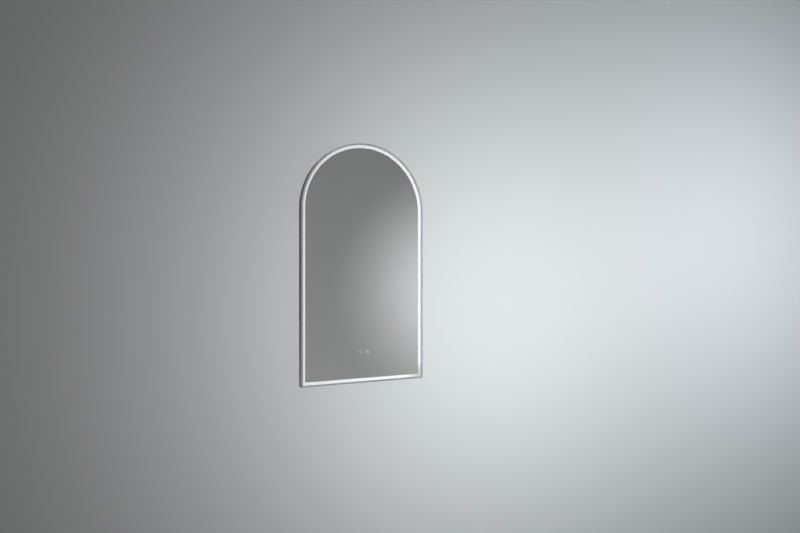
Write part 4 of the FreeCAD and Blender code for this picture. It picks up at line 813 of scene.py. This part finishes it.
class MIRROR_OT_light_strip(bpy.types.Operator):
    """Dresses the opal strip, the channel behind it, the lamps' circuit and plug, and the foam tape"""

    bl_idname = "mirror.light_strip"
    bl_label = "Light strip"

    def execute(self, context):
        colours = context.scene.mirror_colours
        opal = opal_acrylic("opal_acrylic", colours.opal, colours.light, colours.unlit)
        dress(opal, "diffuser_arch", "diffuser_bottom")
        mill = mill_aluminium("mill_finish_aluminium", colours.mill_aluminium)
        dress(mill, "carrier_arch", "carrier_bottom")
        circuit = lamp_circuit("white_flexible_circuit", colours.tape_white, colours.mill_aluminium)
        dress(circuit, "lamp_strip")
        dress(foam_tape("acrylic_foam_tape", colours.tape_white), "bonding_tape")
        dress(moulded("nylon_plug", colours.white_plastic, 0.4, 0.5 * MM), "lamp_plug")
        return {"FINISHED"}


class MIRROR_OT_back(bpy.types.Operator):
    """Dresses the back panel, the rails that hang the mirror, their pocket, and every fixing"""

    bl_idname = "mirror.back"
    bl_label = "Back and hanging"

    def execute(self, context):
        colours = context.scene.mirror_colours
        sheet = galvanised_sheet("hot_dip_galvanised_sheet", colours.galvanised)
        dress(sheet, "back_panel", "hanger_pocket")
        plated = bright_zinc("zinc_plated_rail_steel", colours.bright_zinc)
        dress(plated, "wall_rail", "hook_rail", "corner_key_left", "corner_key_right")
        screws = bright_zinc("zinc_plated_screws", colours.screw_zinc)
        dress(
            screws, "panel_screws", "driver_screws", "wiring_cover_screws", "cord_clamp_screws",
            "earth_bolt", "earth_nut", "earth_ring",
        )
        dress(soft_rubber("moulded_rubber_grommet", colours.rubber), "cable_grommet")
        return {"FINISHED"}


class MIRROR_OT_rivets(bpy.types.Operator):
    """Models the blind rivets: domed flange, broken stem in its middle, shank and spread tail"""

    bl_idname = "mirror.rivets"
    bl_label = "Rivets"

    def execute(self, context):
        sizes, colours = context.scene.mirror_sizes, context.scene.mirror_colours
        aluminium = bright_zinc("formed_aluminium", colours.rivet_aluminium)
        stem_steel = bright_zinc("broken_steel_stem", colours.stem_steel)
        stem = sizes.mandrel_radius
        for name in ("carrier_rivets", "pocket_rivets", "hook_rivets", "wiring_box_rivets"):
            solids = solids_in(name)
            low, high = solids[0]
            head = (high.x - low.x) / 2
            # the flange, the shank and the tail as shares of the head's radius
            dome, shank, tail = head * 0.3, head * 0.533, head * 0.74
            grip = high.y - low.y - 2 * dome
            profile = [
                (0, dome * 0.35),
                (stem, dome * 0.35),
                (stem, dome * 0.9),
                (stem + head * 0.1, dome),
                (head * 0.75, dome * 0.78),
                (head * 0.95, dome * 0.4),
                (head, 0),
                (shank, 0),
                (shank, -grip),
                (tail, -grip - dome * 0.2),
                (tail, -grip - dome * 0.65),
                (tail * 0.7, -grip - dome),
                (0, -grip - dome),
            ]
            rivet = spun(name + "_pattern", profile, steps=24)

            def is_stem(middle, normal):
                return int(middle.y > 0 and math.hypot(middle.x, middle.z) < stem * 0.9)

            settle(rivet, [aluminium, stem_steel], is_stem)
            set_out(rivet, name, outer_ends(solids, dome))
        return {"FINISHED"}


class MIRROR_OT_bumpers(bpy.types.Operator):
    """Models the rubber pads that stand the mirror off the wall: round, dished, with a soft rim"""

    bl_idname = "mirror.bumpers"
    bl_label = "Wall bumpers"

    def execute(self, context):
        colours = context.scene.mirror_colours
        solids = solids_in("wall_bumpers")
        low, high = solids[0]
        radius, rise = (high.x - low.x) / 2, high.y - low.y
        profile = [
            (0, -rise * 0.3),
            (radius * 0.45, -rise * 0.25),
            (radius * 0.62, -rise * 0.04),
            (radius * 0.76, 0),
            (radius * 0.9, -rise * 0.1),
            (radius * 0.98, -rise * 0.35),
            (radius, -rise),
            (0, -rise),
        ]
        bumper = spun("bumper_pattern", profile, steps=40)
        settle(bumper, [soft_rubber("moulded_rubber", colours.rubber)])
        set_out(bumper, "wall_bumpers", outer_ends(solids))
        return {"FINISHED"}


class MIRROR_OT_lamps(bpy.types.Operator):
    """Models one lamp, a white package with a sunk yellow lens, and sets out its copies along the tape"""

    bl_idname = "mirror.lamps"
    bl_label = "Lamps"

    def execute(self, context):
        sizes, colours = context.scene.mirror_sizes, context.scene.mirror_colours
        solids = solids_in("lamps")
        # the lamp nearest Z = 0 stands on a straight side, so that its box is the size of a lamp
        side = min(solids, key=lambda corners: abs((corners[0].z + corners[1].z) / 2))
        half = (side[1] - side[0]) / 2
        lamp = block("lamp_pattern", -half, half, 0.08 * MM, segments=1)
        pick(lamp, "FACE", lambda middle, normal: normal.x > 0.99)
        bpy.ops.mesh.inset(thickness=sizes.lens_margin)
        extrude((-sizes.lens_depth, 0, 0))
        lens_level = half.x - sizes.lens_depth / 2
        housing = moulded("white_lamp_package", colours.white_plastic, 0.35, 0.3 * MM)
        lens = phosphor_lens("phosphor_silicone", colours.phosphor)
        lens_half = half.z - sizes.lens_margin

        def is_lens(middle, normal):
            return int(normal.x > 0.9 and 0 < middle.x < lens_level and abs(middle.z) < lens_half)

        settle(lamp, [housing, lens], is_lens)
        places = []
        for low, high in solids:
            middle = (low + high) / 2
            if middle.z > SPRING:
                turn = math.atan2(SPRING - middle.z, middle.x)
            elif high.x - low.x > high.z - low.z:
                turn = math.pi / 2
            else:
                turn = 0 if middle.x > 0 else math.pi
            places.append((middle, turn))
        set_out(lamp, "lamps", places)
        return {"FINISHED"}


class MIRROR_OT_power_supply(bpy.types.Operator):
    """Dresses the power supply's shells and board, and models the transformer and the capacitors on it"""

    bl_idname = "mirror.power_supply"
    bl_label = "Power supply"

    def execute(self, context):
        colours = context.scene.mirror_colours
        case = moulded("white_polycarbonate_case", colours.white_plastic, 0.45, 0.8 * MM)
        dress(case, "driver_base", "driver_cover")
        board = circuit_board("glass_epoxy_board_large", colours.board_green, colours.board_track)
        dress(board, "driver_board")
        terminals = moulded("green_terminal_plastic", colours.terminal_green, 0.42, 0.6 * MM)
        dress(terminals, "driver_terminals")
        self.build_transformer(colours)
        self.build_capacitors(colours)
        return {"FINISHED"}

    def build_transformer(self, colours):
        """A ferrite core round a taped winding between two bobbin cheeks."""
        low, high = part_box("driver_transformer")
        middle, reach = (low + high) / 2, (high - low) / 2
        tape = moulded("polyester_winding_tape", colours.transformer_tape, 0.35, 1.2 * MM)
        ferrite = moulded("sintered_ferrite", colours.ferrite, 0.6, 0.4 * MM, ior=2.2)
        cheek = moulded("phenolic_bobbin", colours.black_plastic, 0.45, 0.6 * MM)

        def part(name, at, half, rounding, segments=2):
            return block(name, at - half, at + half, rounding, segments)

        winding_reach = Vector((reach.x * 0.6, reach.y * 0.9, reach.z * 0.97))
        winding = part("transformer_winding", middle, winding_reach, reach.y * 0.35, segments=4)
        finish(winding, [tape], replaces=["driver_transformer"])
        # the core is two halves that meet in a groove round its middle
        core_reach = Vector((reach.x, reach.y, reach.z * 0.55))
        core = part("transformer_core", middle, core_reach, 0.4 * MM)
        for gap in (0.12 * MM, -0.12 * MM):
            bpy.ops.mesh.select_all(action="SELECT")
            bpy.ops.mesh.bisect(plane_co=(middle.x + gap, 0, 0), plane_no=(1, 0, 0))
        pick(core, "FACE", lambda place, normal: abs(place.x - middle.x) < 0.1 * MM)
        bpy.ops.transform.resize(value=(1, 0.96, 0.96), center_override=middle)
        finish(core, [ferrite])
        half_cheek = Vector((0.5 * MM, reach.y * 0.96, reach.z))
        for side, name in ((-1, "bobbin_cheek_left"), (1, "bobbin_cheek_right")):
            end = middle + Vector((winding_reach.x * side, 0, 0))
            finish(part(name, end, half_cheek, 0.3 * MM), [cheek])

    def build_capacitors(self, colours):
        """A shrunk sleeve over an aluminium can, crimped near its foot and dished on top."""
        solids = solids_in("driver_capacitors")
        low, high = solids[0]
        radius, tall = (high.x - low.x) / 2, high.y - low.y
        crimp = radius * 0.94
        profile = [
            (0, 0),
            (radius * 0.93, 0),
            (radius, -tall * 0.05),
            (radius, -tall * 0.16),
            (crimp, -tall * 0.21),
            (crimp, -tall * 0.25),
            (radius, -tall * 0.3),
            (radius, -tall * 0.94),
            (radius * 0.94, -tall * 0.99),
            (radius * 0.82, -tall),
            (radius * 0.78, -tall * 0.97),
            (0, -tall * 0.97),
        ]
        can = spun("capacitor_pattern", profile, steps=32)
        sleeve = moulded("shrunk_sleeve", colours.black_plastic, 0.3, 1.0 * MM)
        top = mill_aluminium("drawn_aluminium_can", colours.mill_aluminium)

        def is_top(place, normal):
            return int(place.y < -tall * 0.96 and math.hypot(place.x, place.z) < radius * 0.8)

        settle(can, [sleeve, top], is_top)
        set_out(can, "driver_capacitors", outer_ends(solids))


class MIRROR_OT_wiring(bpy.types.Operator):
    """Dresses the wiring box, its cover and terminals, the clamp, the leads and their clips"""

    bl_idname = "mirror.wiring"
    bl_label = "Wiring"

    def execute(self, context):
        colours = context.scene.mirror_colours
        box_sheet = galvanised_sheet("galvanised_box_sheet", colours.wiring_grey)
        dress(box_sheet, "wiring_box", "wiring_cover")
        dress(turned_brass("turned_brass", colours.brass), "terminal_screws")
        nylon = moulded("white_nylon", colours.white_plastic, 0.5, 0.6 * MM)
        dress(nylon, "terminal_block", "cord_clamp", "lead_clips")
        sheath = lead_sheath("white_pvc_sheath", colours.lead_white)
        dress(sheath, "mains_lead", "light_feed_lead", "lamp_lead", "heater_feed_lead", "heater_lead")
        striped = lead_sheath("green_and_yellow_sheath", colours.lead_green, colours.lead_yellow)
        dress(striped, "earth_lead")
        return {"FINISHED"}


class MIRROR_OT_sensors(bpy.types.Operator):
    """Dresses the demister film and the touch sensors behind the glass"""

    bl_idname = "mirror.sensors"
    bl_label = "Demister and touch sensors"

    def execute(self, context):
        colours = context.scene.mirror_colours
        film = heater_film("amber_heating_film", colours.heater_film, colours.heater_track)
        dress(film, "heater_film")
        dress(moulded("heater_joint_cover", colours.black_plastic, 0.5, 0.5 * MM), "heater_tab")
        dress(copper_foil("copper_foil", colours.copper), "touch_pads")
        board = circuit_board("glass_epoxy_board", colours.board_green, colours.board_track)
        dress(board, "touch_boards")
        dress(moulded("chip_epoxy", colours.black_plastic, 0.55, 0.2 * MM), "touch_chips")
        dress(moulded("white_nylon_plug", colours.white_plastic, 0.4, 0.5 * MM), "touch_plugs")
        return {"FINISHED"}


# ---- Stage: lamps in metres, directions as unit vectors, and linear tones ----

STAGE_SIZE = 14
# name, place, what it points at, share of the stage's power, width and height, and tint
WALL_LAMPS = (
    ("lamp_near", (0.42, -1.54, -0.31), (0.72, 0, -0.31), 1, (0.5, 0.5), "#FAFFFF"),
    ("lamp_far", (2.28, -1.78, 0.05), (2.95, 0, 0.05), 1.29, (1.5, 0.5), "#F0FAFF"),
)
REAR_LAMPS = (
    ("lamp_rear", (0.9, 2.0, -0.2), (0, 0, -0.1), 1, (2.6, 2.2), "#FFFFFF"),
    ("lamp_rear_side", (0.7, 2.3, -0.6), (0, 0, -0.1), 0.6, (2.0, 1.6), "#FFFFFF"),
)
# the room in front of the mirror is dim, a little darker above, with a soft bright patch to the right
ROOM_BELOW, ROOM_ABOVE, ROOM_FADE = 0.275, 0.205, 0.15
PATCH_FALL = -0.035
PATCH_TONE = (0.8, 0.825, 0.825)
# its sides, out of view, are bright in a band at the mirror's level, and even further round
SIDE_LOW, SIDE_BAND, SIDE_FADE = 0.35, 0.05, 0.3
SIDE_FULL, ROUND_START, ROUND_FULL = 1.8, 3, 5
ROUND_TONE = (0.6, 0.6, 0.6)
# behind the wall it is bright, but dark round the way that the frame's left side reflects
DARK_ACROSS, DARK_LEVEL = -0.17, 0.14
DARK_WIDE, DARK_HIGH = (0.55, 0.42), (0.45, 0.33)
BEHIND_TONE = (0.75, 0.75, 0.75)
MATT_TONE = (0.02, 0.02, 0.02)
BACKDROP = (0.8, 0.81, 0.81)


class MIRROR_OT_stage(bpy.types.Operator):
    """Puts up the wall, the floor, the lamps, the surroundings and the camera"""

    bl_idname = "mirror.stage"
    bl_label = "Stage"

    def execute(self, context):
        stage = context.scene.mirror_stage
        bpy.ops.object.select_all(action="DESELECT")
        upright = (math.pi / 2, 0, 0)
        wall = self.put_up("stage_wall", plain_wall("painted_wall", stage.wall), (0, 0, 0), upright)
        below = (0, 0, stage.floor_level)
        floor = self.put_up("stage_floor", pale_floor("plain_floor", stage.floor), below, (0, 0, 0))
        # the wall lets the rear lamps through
        wall.visible_shadow = False

        bpy.ops.object.camera_add(location=stage.station, rotation=(math.pi / 2, 0, -stage.yaw))
        camera = context.object
        camera.data.lens = stage.lens
        camera.data.sensor_width = 36
        context.scene.camera = camera
        context.scene.view_settings.view_transform = "Standard"

        for lamp in self.hang_lamps(WALL_LAMPS, stage.wall_lamp):
            # the photo shows no shadow on the wall and no lamp in the glass
            lamp.visible_glossy = False
            lamp.data.use_shadow = False
        self.hang_lamps(REAR_LAMPS, stage.rear_lamp)
        self.build_room(context.scene, stage)
        return {"FINISHED"}

    def put_up(self, name, material, place, turn):
        """A plane of the stage that neither lights the mirror nor shows in it."""
        bpy.ops.mesh.primitive_plane_add(size=STAGE_SIZE, location=place, rotation=turn)
        plane = bpy.context.object
        plane.name = name
        plane.data.materials.append(material)
        plane.visible_diffuse = False
        plane.visible_glossy = False
        return plane

    def hang_lamps(self, lamps, power):
        """Soft lamps, each with its share of that power."""
        hung = []
        for name, place, aim, share, size, tint in lamps:
            bpy.ops.object.light_add(type="AREA", location=place)
            lamp = bpy.context.object
            lamp.name = name
            lamp.rotation_euler = (Vector(aim) - Vector(place)).to_track_quat("-Z", "Y").to_euler()
            lamp.data.shape = "RECTANGLE"
            lamp.data.size, lamp.data.size_y = size
            lamp.data.energy = power * share
            lamp.data.color = linear(tint)
            hung.append(lamp)
        return hung

    def build_room(self, scene, stage):
        """What the glass and the metal reflect: tones laid over one another, each where its mask is 1."""
        scene.world = bpy.data.worlds.new("room")
        scene.world.use_nodes = True
        sky = Nodes(scene.world.node_tree)
        ray = sky.add("TexCoord")["Generated"]
        across, depth, level = sky.add("SeparateXYZ", {"Vector": ray})
        ends = {"From Min": -ROOM_FADE, "From Max": ROOM_FADE, "To Min": ROOM_BELOW, "To Max": ROOM_ABOVE}
        room = sky.add("MapRange", {"Value": level, **ends})[0]

        to_patch = Vector((math.sin(stage.patch_turn), -math.cos(stage.patch_turn), PATCH_FALL)).normalized()
        facing = sky.add("VectorMath", {0: ray, 1: to_patch}, operation="DOT_PRODUCT")["Value"]
        off_patch = sky.add("Math", {0: facing}, operation="ARCCOSINE")[0]
        in_patch = sky.nearing(off_patch, 0.0, stage.patch_reach, 0.0)

        reach = stage.view_reach
        ahead = sky.add("Math", {0: depth, 1: -1.0}, operation="MULTIPLY")[0]
        turn = sky.add("Math", {0: across, 1: ahead}, operation="ARCTAN2")[0]
        at_side = sky.nearing(turn, stage.view_turn, reach, reach * SIDE_FULL)
        far_round = sky.nearing(turn, stage.view_turn, reach * ROUND_START, reach * ROUND_FULL)
        in_band = sky.nearing(level, 0.0, SIDE_FADE, SIDE_BAND)
        side = sky.add("MapRange", {"Value": in_band, "To Min": SIDE_LOW, "To Max": stage.side_tone})[0]

        in_width = sky.nearing(across, DARK_ACROSS, *DARK_WIDE)
        in_height = sky.nearing(level, DARK_LEVEL, *DARK_HIGH)
        in_dark = sky.add("Math", {0: in_width, 1: in_height}, operation="MULTIPLY")[0]
        tones = {6: BEHIND_TONE, 7: (stage.behind_tone,) * 3}
        rear = sky.add("Mix", {"Factor": in_dark, **tones}, data_type="RGBA")[2]
        behind = sky.add("Math", {0: depth, 1: 0.0}, operation="GREATER_THAN")[0]

        # matt surfaces are lit by the lamps alone, and the camera sees a plain backdrop
        path = sky.add("LightPath")
        off_matt = sky.add("Math", {0: path["Diffuse Depth"], 1: 0.5}, operation="GREATER_THAN")[0]
        for mask, tone in (
            (in_patch, PATCH_TONE),
            (at_side, side),
            (far_round, ROUND_TONE),
            (behind, rear),
            (off_matt, MATT_TONE),
            (path["Is Camera Ray"], BACKDROP),
        ):
            room = sky.add("Mix", {"Factor": mask, 6: room, 7: tone}, data_type="RGBA")[2]
        sky.put(sky.tree.nodes["Background"], "Color", room)


OPERATORS = (
    MIRROR_OT_frame,
    MIRROR_OT_light_strip,
    MIRROR_OT_lamps,
    MIRROR_OT_pane,
    MIRROR_OT_touch_marks,
    MIRROR_OT_sensors,
    MIRROR_OT_back,
    MIRROR_OT_rivets,
    MIRROR_OT_bumpers,
    MIRROR_OT_power_supply,
    MIRROR_OT_wiring,
    MIRROR_OT_stage,
)


class MIRROR_PT_panel(bpy.types.Panel):
    """Lists the sizes, the colours and the steps"""

    bl_label = "Lighted mirror"
    bl_idname = "MIRROR_PT_panel"
    bl_space_type = "VIEW_3D"
    bl_region_type = "UI"
    bl_category = "Mirror"

    def draw(self, context):
        layout = self.layout
        for operator in OPERATORS:
            layout.operator(operator.bl_idname)
        for group in (context.scene.mirror_sizes, context.scene.mirror_colours, context.scene.mirror_stage):
            box = layout.box()
            for name in group.__annotations__:
                box.prop(group, name)


CLASSES = (MirrorSizes, MirrorColours, MirrorStage, *OPERATORS, MIRROR_PT_panel)


def register():
    for item in CLASSES:
        bpy.utils.register_class(item)
    bpy.types.Scene.mirror_sizes = bpy.props.PointerProperty(type=MirrorSizes)
    bpy.types.Scene.mirror_colours = bpy.props.PointerProperty(type=MirrorColours)
    bpy.types.Scene.mirror_stage = bpy.props.PointerProperty(type=MirrorStage)


def unregister():
    del bpy.types.Scene.mirror_stage
    del bpy.types.Scene.mirror_colours
    del bpy.types.Scene.mirror_sizes
    for item in reversed(CLASSES):
        bpy.utils.unregister_class(item)


def main():
    """Registers the add-on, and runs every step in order."""
    register()
    bpy.ops.mirror.frame()
    bpy.ops.mirror.light_strip()
    bpy.ops.mirror.lamps()
    bpy.ops.mirror.pane()
    bpy.ops.mirror.touch_marks()
    bpy.ops.mirror.sensors()
    bpy.ops.mirror.back()
    bpy.ops.mirror.rivets()
    bpy.ops.mirror.bumpers()
    bpy.ops.mirror.power_supply()
    bpy.ops.mirror.wiring()
    bpy.ops.mirror.stage()


if __name__ == "__main__":
    main()
